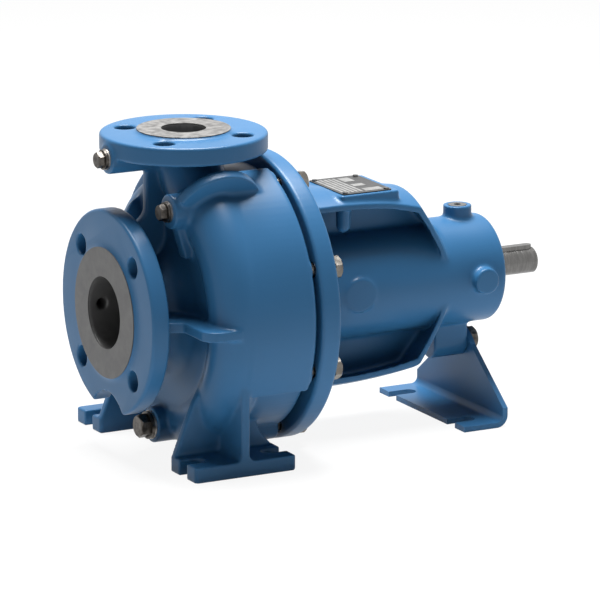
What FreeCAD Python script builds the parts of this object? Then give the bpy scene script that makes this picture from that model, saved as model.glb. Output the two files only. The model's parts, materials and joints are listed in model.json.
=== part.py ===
import FreeCAD, Part
import math
import os

from FreeCAD import Placement, Rotation, Vector

# End suction volute casing pump with a bare shaft, of the pull out from the back kind.
# X runs along the shaft towards the drive end, Z is up and -Y is the near side, on which
# the spiral is widest.
# The origin lies on the base plane, straight under the middle of the discharge flange.
# Lengths are in millimetres and angles in degrees. Angles about the shaft start at the
# top and run towards the near side, so 90 is the near side and 180 is the bottom.

# Main envelope
SHAFT_HEIGHT = 132.0
DISCHARGE_RISE = 160.0
SUCTION_REACH = 80.0
DRIVE_REACH = 360.0

# Suction flange
SUCTION_BORE_RADIUS = 32.5
SUCTION_FLANGE_RADIUS = 92.5
SUCTION_FLANGE_THICKNESS = 20.0
SUCTION_BOLT_CIRCLE = 145.0
SUCTION_FACE_RADIUS = 59.0

# Discharge flange
DISCHARGE_BORE_RADIUS = 20.0
DISCHARGE_FLANGE_RADIUS = 75.0
DISCHARGE_FLANGE_THICKNESS = 20.0
DISCHARGE_BOLT_CIRCLE = 110.0
DISCHARGE_FACE_RADIUS = 42.0
DISCHARGE_NECK_RADIUS = 29.0
DISCHARGE_COLLAR_HEIGHT = 12.0
DISCHARGE_COLLAR_FLARE = 7.2
DISCHARGE_COLLAR_BEND = 3.0
DISCHARGE_COLLAR_SINK = 2.0

# Both flanges
RAISED_FACE = 3.0
FLANGE_HOLE_RADIUS = 9.5
FLANGE_HOLES = 4
FLANGE_FIRST_HOLE = 45.0
RIM_ROUNDING = 1.5

# Clearances and seats
RUNNING_GAP = 0.3
FIT_GAP = 0.05
SHAFT_FIT_GAP = 0.03
SEAL_FACE_GAP = 0.1
TOOL_OVERRUN = 1.0

# Limits of the geometry tests: points closer than this are one, and two directions run
# the same way where the cosine between them is above this
SAME_POINT = 1e-6
NEARLY_PARALLEL = 0.99

HEXAGON_SIDES = 6

# Impeller
IMPELLER_RADIUS = 82.5
OUTLET_WIDTH = 9.0
SHROUD_WALL = 3.5
EYE_RADIUS = 29.0
EYE_FRONT = 27.0
EYE_NECK_LENGTH = 9.0
VANES = 6
VANE_THICKNESS = 3.0
VANE_INNER_RADIUS = 25.0
VANE_INNER_ANGLE = 24.0
VANE_OUTER_ANGLE = 26.0
VANE_STEPS = 5
VANE_OVERRUN = 2.0
IMPELLER_HUB_RADIUS = 14.0
IMPELLER_HUB_FRONT = 8.0
IMPELLER_HUB_BACK_RADIUS = 17.0
IMPELLER_HUB_BACK = 28.0
BALANCE_HOLE_RADIUS = 2.5
BALANCE_HOLE_CIRCLE = 24.0
# Points of the impeller passage between rim and eye, as distance behind the middle of
# the outlet and radius
FRONT_PASSAGE_BEND = (-7.0, 58.0)
FRONT_PASSAGE_TURN = (-13.5, 38.0)
BACK_PASSAGE_BEND = (4.0, 58.0)
BACK_PASSAGE_TURN = (1.0, 34.0)
BACK_PASSAGE_EYE = (-1.0, 22.0)
FRONT_SHROUD_TURN = (-15.5, 40.5)
FRONT_SHROUD_BEND = (-10.5, 60.0)

# Volute passage
CUTWATER_GAP = 3.7
VOLUTE_START_ANGLE = 345.0
VOLUTE_TURN = 315.0
VOLUTE_FIRST_RADIUS = 12.0
VOLUTE_LAST_RADIUS = 20.8
VOLUTE_RUN_IN = 30.0
VOLUTE_STATIONS = 11
DUCT_STATIONS = 4
CASING_WALL = 7.0
CHAMBER_RIM_GAP = 9.5
CHAMBER_FRONT = 12.5
FRONT_WALL_RADIUS = 100.0
SUCTION_NECK_RADIUS = 44.0
NECK_FLARE_RADIUS = 64.0
NECK_FLANGE_FILLET = 8.0
NECK_FLARE_LENGTH = 8.0
NECK_FLARE_RISE = 6.0
WEAR_RING_SHOULDER = 8.0
FRONT_WALL_TAPER_RADIUS = 59.4

# Drum behind the spiral and the thick belt on each side of it
DRUM_RADIUS = 121.0
DRUM_FRONT = 8.0
DRUM_BACK = 65.0
DRUM_CHAMFER = 6.0
BELT_RADIUS = 132.0
BELT_FRONT = 1.0
BELT_FIRST_ANGLE = 18.0
BELT_LAST_ANGLE = 118.0
BELT_CORNER = 3.0

# Casing bolts
COVER_BOLT_CIRCLE = 238.0
COVER_BOLTS = 8
COVER_BOLT_FIRST = 22.5
BOLT_RADIUS = 6.0
BOLT_HEAD_FLATS = 19.0
BOLT_HEAD_HEIGHT = 7.5
BOLT_HOLE_RADIUS = 6.6
WASHER_RADIUS = 12.0
WASHER_THICKNESS = 2.0
BOLT_BOSS_RADIUS = 12.5
BOLT_BOSS_FRONT = 15.5
BOLT_GRIP = 26.0
BOLT_HOLE_EXTRA = 3.0
HEAD_CHAMFER_SHARE = 0.475

# Casing feet
FOOT_INNER = 70.0
FOOT_OUTER = 120.0
FOOT_HALF_LENGTH = 50.0
FOOT_THICKNESS = 14.0
FOOT_BOLT_X = 35.0
FOOT_BOLT_Y = 95.0
FOOT_SLOT_RADIUS = 7.0
FOOT_WEB_THICKNESS = 8.0
FOOT_WEB_TOP = 84.0
FOOT_WEB_TOP_HALF = 17.0
FOOT_WEB_REACH = 20.0
FOOT_WEB_BULGE_HEIGHT = 61.0
FOOT_WEB_FRONT_INSET = 2.0
FOOT_WEB_FRONT_WAIST = (9.0, 34.0)
FOOT_WEB_BACK_INSET = 4.0
FOOT_WEB_BACK_WAIST = (14.0, 28.0)
FOOT_WEB_BACK_HEIGHT = 45.0
FOOT_WEB_BASE_HEIGHT = 16.0
FOOT_RIB_THICKNESS = 8.0
FOOT_RIB_FILLET = 5.0
FOOT_RIB_SINK = 20.0
FOOT_CORNER = 3.0

# Casing ribs
GUSSET_THICKNESS = 8.0
GUSSET_FRONT = 39.0
GUSSET_BEND_HEIGHT = 222.0
GUSSET_FLANGE_HEIGHT = 209.0
GUSSET_BEND_MIDDLE = (4.0, 7.0)
GUSSET_BEND_END = (10.0, 11.0)
GUSSET_BACK = 10.0
RIB_SINK = 4.0
SIDE_FIN_THICKNESS = 9.0
SIDE_FIN_ROOT = 75.0
SIDE_FIN_INNER_BEND = (-42.0, 84.0)
SIDE_FIN_OUTER_BEND = (-42.0, 112.0)
SIDE_FIN_SHOULDER = (-39.0, 124.0)
SIDE_FIN_REACH = (-31.0, 129.5)
SIDE_FIN_TIP = (-9.0, 131.0)
CREST_RIB_ANGLE = 30.0
CREST_RIB_THICKNESS = 10.0
CREST_RIB_RADIUS = 153.5
CREST_RIB_END_RADIUS = 127.0
CREST_RIB_FRONT = 37.0
CREST_RIB_BACK = 41.0
CREST_RIB_BACK_RISE = 2.0
CREST_RIB_BEAK = (6.0, 8.0)
CREST_RIB_HEEL = (-18.0, 117.0)
FAR_FIN_ANGLE = 330.0
FAR_FIN_THICKNESS = 8.0
FAR_FIN_FRONT = (-38.0, 83.0)
FAR_FIN_SHOULDER = (-34.0, 93.0)
FAR_FIN_BEND = (-24.0, 101.0)
FAR_FIN_BACK = (-10.0, 109.0)

# Plugs and their bosses
DRAIN_HEIGHT = 23.5
DRAIN_BOSS_RADIUS = 16.3
DRAIN_BOSS_FRONT = 34.0
DRAIN_NOTCH_RADIUS = 36.0
DRAIN_THREAD_RADIUS = 10.3
DRAIN_PLUG_FLATS = 19.0
DRAIN_HEAD_HEIGHT = 9.0
DRAIN_COLLAR_RADIUS = 12.5
DRAIN_COLLAR_HEIGHT = 3.0
DRAIN_PLUG_DEPTH = 12.0
PASSAGE_STOP = 2.0
GAUGE_THREAD_RADIUS = 6.4
GAUGE_PLUG_FLATS = 13.0
GAUGE_HEAD_HEIGHT = 6.0
GAUGE_COLLAR_RADIUS = 9.0
GAUGE_COLLAR_HEIGHT = 2.5
GAUGE_PLUG_DEPTH = 9.0
SEALING_RING_THICKNESS = 1.5
SEALING_RING_RIM = 0.5
GAUGE_PASSAGE_RADIUS = 5.0
GAUGE_SOCKET_FLATS = 6.0
GAUGE_SOCKET_DEPTH = 4.0
DISCHARGE_GAUGE_HEIGHT = 271.0
DISCHARGE_GAUGE_RADIUS = 13.5
DISCHARGE_GAUGE_FRONT = 76.5
VENT_Y = -51.0
VENT_HEIGHT = 230.0
VENT_BOSS_RADIUS = 15.5
VENT_BOSS_FRONT = 41.0
VENT_WEB_THICKNESS = 12.0
VENT_WEB_FRONT = (-37.0, 220.0)
VENT_WEB_FOOT = (-27.0, 187.0)
SUCTION_GAUGE_X = -65.5
SUCTION_GAUGE_REACH = 92.0
SUCTION_GAUGE_BOSS_RADIUS = 9.5

# Wear ring
WEAR_RING_WALL = 4.7
WEAR_RING_FRONT = 28.0
WEAR_RING_LENGTH = 10.0

# Casing cover with the seal chamber
COVER_FRONT = 14.0
COVER_DISC = 7.0
COVER_RADIUS = 99.7
COVER_WALL = 7.0
COVER_FLANGE_RADIUS = 108.0
COVER_FLANGE_FRONT = 60.0
COVER_FLANGE_THICKNESS = 10.4
GASKET_THICKNESS = 1.0
SEAL_CHAMBER_RADIUS = 26.0
SEAL_CHAMBER_WALL = 7.0
SEAL_CHAMBER_BACK = 58.0
SEAL_REAR_WALL = 8.0
COVER_RIBS = 8
COVER_RIB_THICKNESS = 6.0
COVER_RIB_LENGTH = 14.0
COVER_CORNER = 6.0

# Mechanical seal
SEAL_SEAT_RADIUS = 22.0
SEAL_SEAT_BORE = 15.0
SEAL_SEAT_LENGTH = 9.0
SEAL_SEAT_POCKET = 6.0
SEAL_HEAD_RADIUS = 21.0
SEAL_FACE_LENGTH = 6.0
SEAL_SPRING_RADIUS = 18.0
SEAL_SPRING_WIRE = 1.1
SEAL_SPRING_TURNS = 3
SEAL_COLLAR_LENGTH = 4.0

# Shaft
SHAFT_THREAD_RADIUS = 8.0
SHAFT_IMPELLER_RADIUS = 10.0
SHAFT_SEAL_RADIUS = 14.0
SHAFT_BEARING_RADIUS = 15.0
SHAFT_MIDDLE_RADIUS = 18.0
SHAFT_END_RADIUS = 12.0
SHAFT_END_LENGTH = 52.0
SHAFT_FRONT = 24.0
SHAFT_CHAMFER = 1.0
BEARING_SEAT_LEAD = 2.0
BEARING_SEAT_TAIL = 3.0
KEY_WIDTH = 8.0
KEY_HEIGHT = 7.0
KEY_SEAT = 4.0
KEY_LENGTH = 40.0
KEY_END_GAP = 2.0
IMPELLER_KEY_WIDTH = 5.0
IMPELLER_KEY_HEIGHT = 5.0
IMPELLER_KEY_LENGTH = 20.0
IMPELLER_KEY_START = 2.0
IMPELLER_KEY_SEAT = 3.0
IMPELLER_NUT_FLATS = 22.0
IMPELLER_NUT_LENGTH = 14.0
IMPELLER_NUT_CAP = 6.0
IMPELLER_NUT_CHAMFER = 2.0
IMPELLER_NUT_FACE_SHARE = 0.88
IMPELLER_NUT_CAP_SHARE = 0.8
IMPELLER_NUT_DOME = (0.7, 0.5)
IMPELLER_WASHER_THICKNESS = 2.0
DEFLECTOR_X = 108.0
DEFLECTOR_RADIUS = 27.0
DEFLECTOR_LENGTH = 6.0
DEFLECTOR_HUB = 6.0
DEFLECTOR_RIM = 3.0

# Ball bearings
BEARING_RADIUS = 36.0
BEARING_WIDTH = 19.0
BALL_RADIUS = 6.15
BALL_CIRCLE_RADIUS = 25.5
BALLS = 8
BEARING_LAND = 4.0
CAGE_WALL = 3.4
CAGE_WIDTH = 15.4
PUMP_BEARING_X = 150.0
DRIVE_BEARING_X = 256.0
CIRCLIP_THICKNESS = 2.5
CIRCLIP_DEPTH = 1.5
CIRCLIP_WALL = 4.0
SHAFT_CIRCLIP_THICKNESS = 1.5
SHAFT_CIRCLIP_DEPTH = 0.8
SHAFT_CIRCLIP_WALL = 3.0
HOUSING_CIRCLIP_OPENING = 10.0
SHAFT_CIRCLIP_OPENING = 6.0

# Shaft seals of the bearing housing
PUMP_SEAL_RADIUS = 23.5
PUMP_SEAL_X = 138.0
LIP_SEAL_WIDTH = 8.0
DRIVE_SEAL_X = 295.0
LIP_SEAL_WALL = 3.0
LIP_SEAL_EDGE = 2.0
LIP_SEAL_ROOT = 4.0
LIP_SEAL_TIP = 1.0

# Bearing bracket
BRACKET_FRONT = 70.4
BRACKET_RING_RADIUS = 131.0
BRACKET_RING_THICKNESS = 19.2
BRACKET_RING_CORNER = 2.0
BRACKET_POCKET_DEPTH = 8.0
BRACKET_POCKET_INNER = 58.0
BRACKET_POCKET_OUTER = 103.0
BRACKET_POCKET_COUNT = 2
BRACKET_POCKET_HALF_ANGLE = 52.0
BARREL_RADIUS = 49.5
BARREL_END = 305.0
BARREL_CORNER = 4.0
LANTERN_RADIUS = 40.0
LANTERN_BACK = 130.0
LANTERN_WINDOW_FRONT = 94.0
LANTERN_WINDOW_BACK = 124.0
LANTERN_WINDOW_HALF_HEIGHT = 24.0
LANTERN_WINDOW_CORNER = 8.0
BEARING_SHOULDER_RADIUS = 31.0
SHAFT_PASSAGE_GAP = 4.0
ARM_HALF_WIDTH = 40.0
ARM_WIDENING_X = 190.0
ARM_END_HALF_WIDTH = 46.0
ARM_PLATE = 5.0
ARM_WEB = 14.0
ARM_RADIUS = 91.5
ARM_STRAIGHT_END = 140.0
ARM_MIDDLE_X = 180.0
ARM_MIDDLE_RADIUS = 89.3
ARM_BEND_X = 218.5
ARM_BEND_RADIUS = 84.5
ARM_END_X = 246.0
ARM_TAB_X = 145.0
ARM_TAB_Y = 30.0
ARM_TAB_RADIUS = 6.5
ARM_TAB_LENGTH = 29.0
BARREL_ROOT_RISE = 6.0
BARREL_ROOT_BEND = (2.0, 2.0)
BARREL_ROOT_LENGTH = 8.0
TOP_BOSS_X = 280.0
TOP_BOSS_RADIUS = 13.0
TOP_BOSS_REACH = 60.6
SIDE_BOSS_X = 280.0
SIDE_BOSS_RADIUS = 12.0
SIDE_BOSS_REACH = 58.0
LANTERN_BOSS_X = 153.0
LANTERN_BOSS_RADIUS = 16.0
LANTERN_BOSS_REACH = 50.5
FILLER_PLUG_RADIUS = 8.5
FILLER_PLUG_DEPTH = 8.0
FILLER_SOCKET_FLATS = 6.0
FILLER_SOCKET_DEPTH = 4.0
FILLER_PASSAGE_RADIUS = 2.0
FILLER_PASSAGE_INNER = 32.0
FOOT_LUG_FRONT = 250.0
FOOT_LUG_HALF_WIDTH = 14.0
FOOT_LUG_BOLT_HEIGHT = 65.0

# Name plate and its pad
PAD_FRONT = 140.0
PAD_BACK = 200.0
PAD_HALF_WIDTH = 36.0
PAD_TOP = 221.5
PAD_CORNER = 3.0
PAD_SINK = 15.0
PLATE_FRONT = 143.5
PLATE_BACK = 193.5
PLATE_HALF_WIDTH = 33.0
PLATE_THICKNESS = 1.0
PLATE_CORNER = 2.0
PLATE_SCREW_INSET = 4.0
PLATE_SCREW_RADIUS = 1.4
PLATE_SCREW_HEAD_RADIUS = 2.4
PLATE_SCREW_HEAD_HEIGHT = 1.2
PLATE_SCREW_DEPTH = 5.0

# Support foot
SUPPORT_SHEET = 5.0
SUPPORT_X = 284.0
SUPPORT_HALF_WIDTH = 80.0
SUPPORT_SHOULDER = 17.8
SUPPORT_NECK_HEIGHT = 64.0
SUPPORT_NECK_HALF = 20.0
SUPPORT_TOP = 76.0
SUPPORT_TOP_HALF = 5.0
SUPPORT_TOP_CORNER = (12.5, 71.5)
SUPPORT_FRONT = 244.0
SUPPORT_BEND_RADIUS = 6.0
SUPPORT_SLOT_Y = 55.0
SUPPORT_BOLT_X = 261.0
SUPPORT_BOLT_LENGTH = 30.0
SUPPORT_BOLT_TIP_ROOM = 3.0

AXIS = Vector(1, 0, 0)
UP = Vector(0, 0, 1)
FAR = Vector(0, 1, 0)
BRACKET_BACK = BRACKET_FRONT + BRACKET_RING_THICKNESS
FLANGE_BACK = -SUCTION_REACH + SUCTION_FLANGE_THICKNESS
DISCHARGE_TOP = SHAFT_HEIGHT + DISCHARGE_RISE
DISCHARGE_UNDERSIDE = DISCHARGE_TOP - DISCHARGE_FLANGE_THICKNESS
WEAR_RING_BORE = EYE_RADIUS + SHROUD_WALL + RUNNING_GAP
WEAR_RING_RADIUS = WEAR_RING_BORE + WEAR_RING_WALL
CHORD = math.sqrt(0.5)


def on_axis(x, radius=0.0, angle=0.0):
    """The point at x along the shaft, at a radius and angle about it."""
    turn = math.radians(angle)
    return Vector(x, -radius * math.sin(turn), SHAFT_HEIGHT + radius * math.cos(turn))


def outline(to_point, start, *steps):
    """A closed wire. A step is a point for a line, or a pair of points for an arc."""
    edges = []
    here = to_point(*start)
    for step in list(steps) + [start]:
        if isinstance(step[0], tuple):
            middle = to_point(*step[0])
            there = to_point(*step[1])
            edges.append(Part.Arc(here, middle, there).toShape())
        else:
            there = to_point(*step)
            if there.isEqual(here, SAME_POINT):
                continue
            edges.append(Part.LineSegment(here, there).toShape())
        here = there
    return Part.Wire(edges)


def turned(start, *steps, sweep=360.0, angle=0.0):
    """A solid of revolution about the shaft from an outline of x and radius."""
    face = Part.Face(outline(on_axis, start, *steps))
    face.rotate(on_axis(0), AXIS, angle)
    return face.revolve(on_axis(0), AXIS, sweep)


def slab(to_point, offset, start, *steps):
    """An outline pushed along a vector, centred on its own plane."""
    face = Part.Face(outline(to_point, start, *steps))
    face.translate(offset * -0.5)
    return face.extrude(offset)


def rod(start, direction, length, radius):
    return Part.makeCylinder(radius, length, start, direction)


def round_ended_rod(start, direction, length, radius):
    """A round bar whose far end is a half ball."""
    straight = length - radius
    chord = radius * CHORD
    profile = outline(
        lambda out, along: Vector(out, 0, along),
        (0, 0),
        (radius, 0),
        (radius, straight),
        ((chord, straight + chord), (0, length)),
    )
    bar = Part.Face(profile).revolve(Vector(0, 0, 0), UP, 360)
    bar.Placement = Placement(start, Rotation(UP, direction))
    return bar


def shaft_rod(x_start, x_end, radius, y=0.0, height=SHAFT_HEIGHT):
    """A round bar parallel to the shaft."""
    return rod(Vector(x_start, y, height), AXIS, x_end - x_start, radius)


def tube(x_start, x_end, outer, inner):
    return shaft_rod(x_start, x_end, outer).cut(shaft_rod(x_start, x_end, inner))


def block(x_low, x_high, y_low, y_high, z_low, z_high):
    size = (x_high - x_low, y_high - y_low, z_high - z_low)
    return Part.makeBox(*size, Vector(x_low, y_low, z_low))


def hexagon_bar(start, direction, length, flats, turn=0.0):
    """A hexagon bar of the given width across flats."""
    points = []
    for corner in range(HEXAGON_SIDES + 1):
        step = math.radians(360 * corner / HEXAGON_SIDES + turn)
        reach = flats / math.sqrt(3)
        points.append(Vector(reach * math.cos(step), reach * math.sin(step), 0))
    bar = Part.Face(Part.makePolygon(points)).extrude(UP * length)
    bar.Placement = Placement(start, Rotation(UP, direction))
    return bar


def chamfered_head(start, direction, height, flats, turn=0.0):
    """A hexagon head whose outer corners are turned off."""
    head = hexagon_bar(start, direction, height, flats, turn)
    corner_radius = flats / math.sqrt(3)
    flat_radius = HEAD_CHAMFER_SHARE * flats
    cone_height = corner_radius - flat_radius
    top = start + direction * height
    cone_start = top - direction * cone_height
    cone = Part.makeCone(corner_radius + cone_height, flat_radius, 2 * cone_height,
                         cone_start - direction * cone_height, direction)
    body = rod(start, direction, height - 2 * cone_height, corner_radius + TOOL_OVERRUN)
    return head.common(body.fuse(cone))


def around_shaft(shape, count, first):
    """Copies of a shape that stands at the top, spread about the shaft."""
    copies = []
    for index in range(count):
        copy = shape.copy()
        copy.rotate(on_axis(0), AXIS, first + index * 360.0 / count)
        copies.append(copy)
    return copies


def joined(shapes):
    whole = shapes[0].multiFuse(shapes[1:])
    return whole.removeSplitter()


def without(shape, tools):
    return shape.cut(Part.makeCompound(tools))


def rounded(shape, radius, chosen):
    """Fillets the edges that the chosen test accepts."""
    edges = [edge for edge in shape.Edges if chosen(edge)]
    return shape.makeFillet(radius, edges)


def save(name, shape):
    shape.exportStep("parts/%s.step" % name)


def volute_angle(turn):
    """Spiral angle about the shaft after a turn from the cutwater."""
    return VOLUTE_START_ANGLE - turn


def volute_radius(turn):
    """Radius of the round passage after a turn from the cutwater."""
    share = max(turn, 0.0) / VOLUTE_TURN
    return VOLUTE_FIRST_RADIUS + share * (VOLUTE_LAST_RADIUS - VOLUTE_FIRST_RADIUS)


def section(centre, heading, radius):
    """A circle across a heading, with its seam towards the drive end."""
    ring = Part.Wire(Part.makeCircle(radius))
    ring.Placement = Placement(centre, Rotation(AXIS, heading.cross(AXIS), heading, "XZY"))
    return ring


def volute_section(turn, wall):
    angle = volute_angle(turn)
    passage = volute_radius(turn)
    centre = on_axis(0, IMPELLER_RADIUS + CUTWATER_GAP + passage, angle)
    heading = Vector(0, math.cos(math.radians(angle)), math.sin(math.radians(angle)))
    return section(centre, heading, passage + wall)


def spiral(first_turn, wall):
    """The round spiral duct from the cutwater to the throat."""
    step = (VOLUTE_TURN - first_turn) / VOLUTE_STATIONS
    sections = []
    for station in range(VOLUTE_STATIONS + 1):
        sections.append(volute_section(first_turn + station * step, wall))
    return Part.makeLoft(sections, True, False)


def outlet_duct(wall, end_radius):
    """The duct that bends from the throat up to the discharge face."""
    angle = volute_angle(VOLUTE_TURN)
    turn = math.radians(angle)
    throat = on_axis(0, IMPELLER_RADIUS + CUTWATER_GAP + VOLUTE_LAST_RADIUS, angle)
    heading = Vector(0, math.cos(turn), math.sin(turn))
    corner = throat + heading * (-throat.y / heading.y)
    top = Vector(0, 0, DISCHARGE_TOP)
    first_radius = VOLUTE_LAST_RADIUS + wall
    sections = []
    for station in range(DUCT_STATIONS + 1):
        share = station / DUCT_STATIONS
        rest = 1 - share
        centre = throat * rest ** 2 + corner * (2 * rest * share) + top * share ** 2
        way = (corner - throat) * rest + (top - corner) * share
        radius = first_radius * rest + end_radius * share
        sections.append(section(centre, way.normalize(), radius))
    return Part.makeLoft(sections, True, False)


def flange_holes(centre, normal, first, circle, depth):
    """Bolt holes of a pipe flange, drilled along its normal."""
    drills = []
    for index in range(FLANGE_HOLES):
        drill = rod(centre + first * (circle / 2), normal, depth, FLANGE_HOLE_RADIUS)
        drill.rotate(centre, normal, FLANGE_FIRST_HOLE + index * 360.0 / FLANGE_HOLES)
        drills.append(drill)
    return drills


def suction_neck():
    """Suction flange, neck and the flat front wall as one turned body."""
    face = -SUCTION_REACH
    rim = SUCTION_FLANGE_RADIUS
    fillet = NECK_FLANGE_FILLET
    wall_front = -CHAMBER_FRONT - CASING_WALL
    chord = 1 - CHORD
    return turned(
        (face, 0),
        (face, SUCTION_FACE_RADIUS),
        (face + RAISED_FACE, SUCTION_FACE_RADIUS),
        (face + RAISED_FACE, rim - RIM_ROUNDING),
        (face + RAISED_FACE + RIM_ROUNDING, rim),
        (FLANGE_BACK - RIM_ROUNDING, rim),
        (FLANGE_BACK, rim - RIM_ROUNDING),
        (FLANGE_BACK, SUCTION_NECK_RADIUS + fillet),
        ((FLANGE_BACK + fillet * chord, SUCTION_NECK_RADIUS + fillet * chord),
         (FLANGE_BACK + fillet, SUCTION_NECK_RADIUS)),
        (FLANGE_BACK + 2 * fillet, SUCTION_NECK_RADIUS),
        ((wall_front - NECK_FLARE_LENGTH, SUCTION_NECK_RADIUS + NECK_FLARE_RISE),
         (wall_front, NECK_FLARE_RADIUS)),
        (wall_front, FRONT_WALL_RADIUS),
        (0, FRONT_WALL_RADIUS),
        (0, 0),
    )


def discharge_flange():
    """The round flange on top, with a collar that flares into the duct."""
    low = DISCHARGE_UNDERSIDE
    rim = DISCHARGE_FLANGE_RADIUS
    raised = DISCHARGE_TOP - RAISED_FACE
    base = low - DISCHARGE_COLLAR_HEIGHT
    flare = DISCHARGE_NECK_RADIUS + DISCHARGE_COLLAR_FLARE
    bend = DISCHARGE_NECK_RADIUS + DISCHARGE_COLLAR_SINK
    profile = outline(
        lambda radius, height: Vector(radius, 0, height),
        (0, base),
        (DISCHARGE_NECK_RADIUS - DISCHARGE_COLLAR_SINK, base),
        ((bend, low - DISCHARGE_COLLAR_BEND), (flare, low)),
        (rim - RIM_ROUNDING, low),
        (rim, low + RIM_ROUNDING),
        (rim, raised - RIM_ROUNDING),
        (rim - RIM_ROUNDING, raised),
        (DISCHARGE_FACE_RADIUS, raised),
        (DISCHARGE_FACE_RADIUS, DISCHARGE_TOP),
        (0, DISCHARGE_TOP),
    )
    return Part.Face(profile).revolve(Vector(0, 0, 0), UP, 360)


def drum():
    """The plain drum behind the spiral, its belts and its bolt bosses."""
    body = turned(
        (0, 0),
        (0, FRONT_WALL_RADIUS),
        (DRUM_FRONT, DRUM_RADIUS - DRUM_CHAMFER),
        (DRUM_FRONT + DRUM_CHAMFER, DRUM_RADIUS),
        (DRUM_BACK, DRUM_RADIUS),
        (DRUM_BACK, 0),
    )
    belts = []
    for first_angle in (BELT_FIRST_ANGLE, -BELT_LAST_ANGLE):
        belts.append(turned(
            (BELT_FRONT, FRONT_WALL_RADIUS),
            (BELT_FRONT, BELT_RADIUS),
            (DRUM_BACK - BELT_CORNER, BELT_RADIUS),
            (DRUM_BACK, BELT_RADIUS - BELT_CORNER),
            (DRUM_BACK, FRONT_WALL_RADIUS),
            sweep=BELT_LAST_ANGLE - BELT_FIRST_ANGLE,
            angle=first_angle,
        ))
    boss = round_ended_rod(on_axis(DRUM_BACK, COVER_BOLT_CIRCLE / 2), AXIS * -1,
                           DRUM_BACK - BOLT_BOSS_FRONT, BOLT_BOSS_RADIUS)
    bosses = around_shaft(boss, COVER_BOLTS, COVER_BOLT_FIRST)
    return [body] + belts + bosses


def casing_foot(side):
    """One foot with open slots, a web along the pump and a rib across it."""
    inner = side * FOOT_INNER
    outer = side * FOOT_OUTER
    low, high = sorted((inner, outer))
    pad = block(-FOOT_HALF_LENGTH, FOOT_HALF_LENGTH, low, high, 0, FOOT_THICKNESS)
    pad = rounded(pad, FOOT_CORNER, lambda edge: abs(edge.tangentAt(0).z) > NEARLY_PARALLEL)
    half = FOOT_HALF_LENGTH
    middle = inner + side * FOOT_WEB_THICKNESS / 2
    web = slab(
        lambda x, z: Vector(x, middle, z),
        FAR * FOOT_WEB_THICKNESS,
        (-half + FOOT_WEB_FRONT_INSET, 0),
        (-half + FOOT_WEB_FRONT_INSET, FOOT_WEB_BASE_HEIGHT),
        ((-half + FOOT_WEB_FRONT_WAIST[0], FOOT_WEB_FRONT_WAIST[1]),
         (-half + FOOT_WEB_REACH, FOOT_WEB_BULGE_HEIGHT)),
        (-FOOT_WEB_TOP_HALF, FOOT_WEB_TOP),
        (FOOT_WEB_TOP_HALF, FOOT_WEB_TOP),
        (half - FOOT_WEB_REACH, FOOT_WEB_BACK_HEIGHT),
        ((half - FOOT_WEB_BACK_WAIST[0], FOOT_WEB_BACK_WAIST[1]),
         (half - FOOT_WEB_BACK_INSET, FOOT_WEB_BASE_HEIGHT)),
        (half - FOOT_WEB_BACK_INSET, 0),
    )
    fillet = FOOT_RIB_FILLET
    bend = fillet * (1 - CHORD)
    rib_half = FOOT_RIB_THICKNESS / 2
    wall_reach = math.sqrt(FRONT_WALL_RADIUS ** 2 - FOOT_INNER ** 2)
    rib_top = SHAFT_HEIGHT - wall_reach + FOOT_RIB_SINK
    rib = slab(
        lambda x, z: Vector(x, (inner + outer) / 2, z),
        FAR * (FOOT_OUTER - FOOT_INNER),
        (-rib_half - fillet, FOOT_THICKNESS - fillet),
        (-rib_half - fillet, FOOT_THICKNESS),
        ((-rib_half - bend, FOOT_THICKNESS + bend), (-rib_half, FOOT_THICKNESS + fillet)),
        (-rib_half, rib_top),
        (rib_half, rib_top),
        (rib_half, FOOT_THICKNESS + fillet),
        ((rib_half + bend, FOOT_THICKNESS + bend), (rib_half + fillet, FOOT_THICKNESS)),
        (rib_half + fillet, FOOT_THICKNESS - fillet),
    )
    return [pad, web, rib]


def casing_foot_slots():
    slots = []
    for side in (-1, 1):
        for end in (-1, 1):
            centre = Vector(end * FOOT_BOLT_X, side * FOOT_BOLT_Y, -TOOL_OVERRUN)
            drill = rod(centre, UP, FOOT_THICKNESS + 2 * TOOL_OVERRUN, FOOT_SLOT_RADIUS)
            mouth_end = end * (FOOT_HALF_LENGTH + TOOL_OVERRUN)
            x_low, x_high = sorted((centre.x, mouth_end))
            mouth = block(x_low, x_high, centre.y - FOOT_SLOT_RADIUS,
                          centre.y + FOOT_SLOT_RADIUS, -TOOL_OVERRUN,
                          FOOT_THICKNESS + TOOL_OVERRUN)
            slots.append(drill.fuse(mouth))
    return slots


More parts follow.
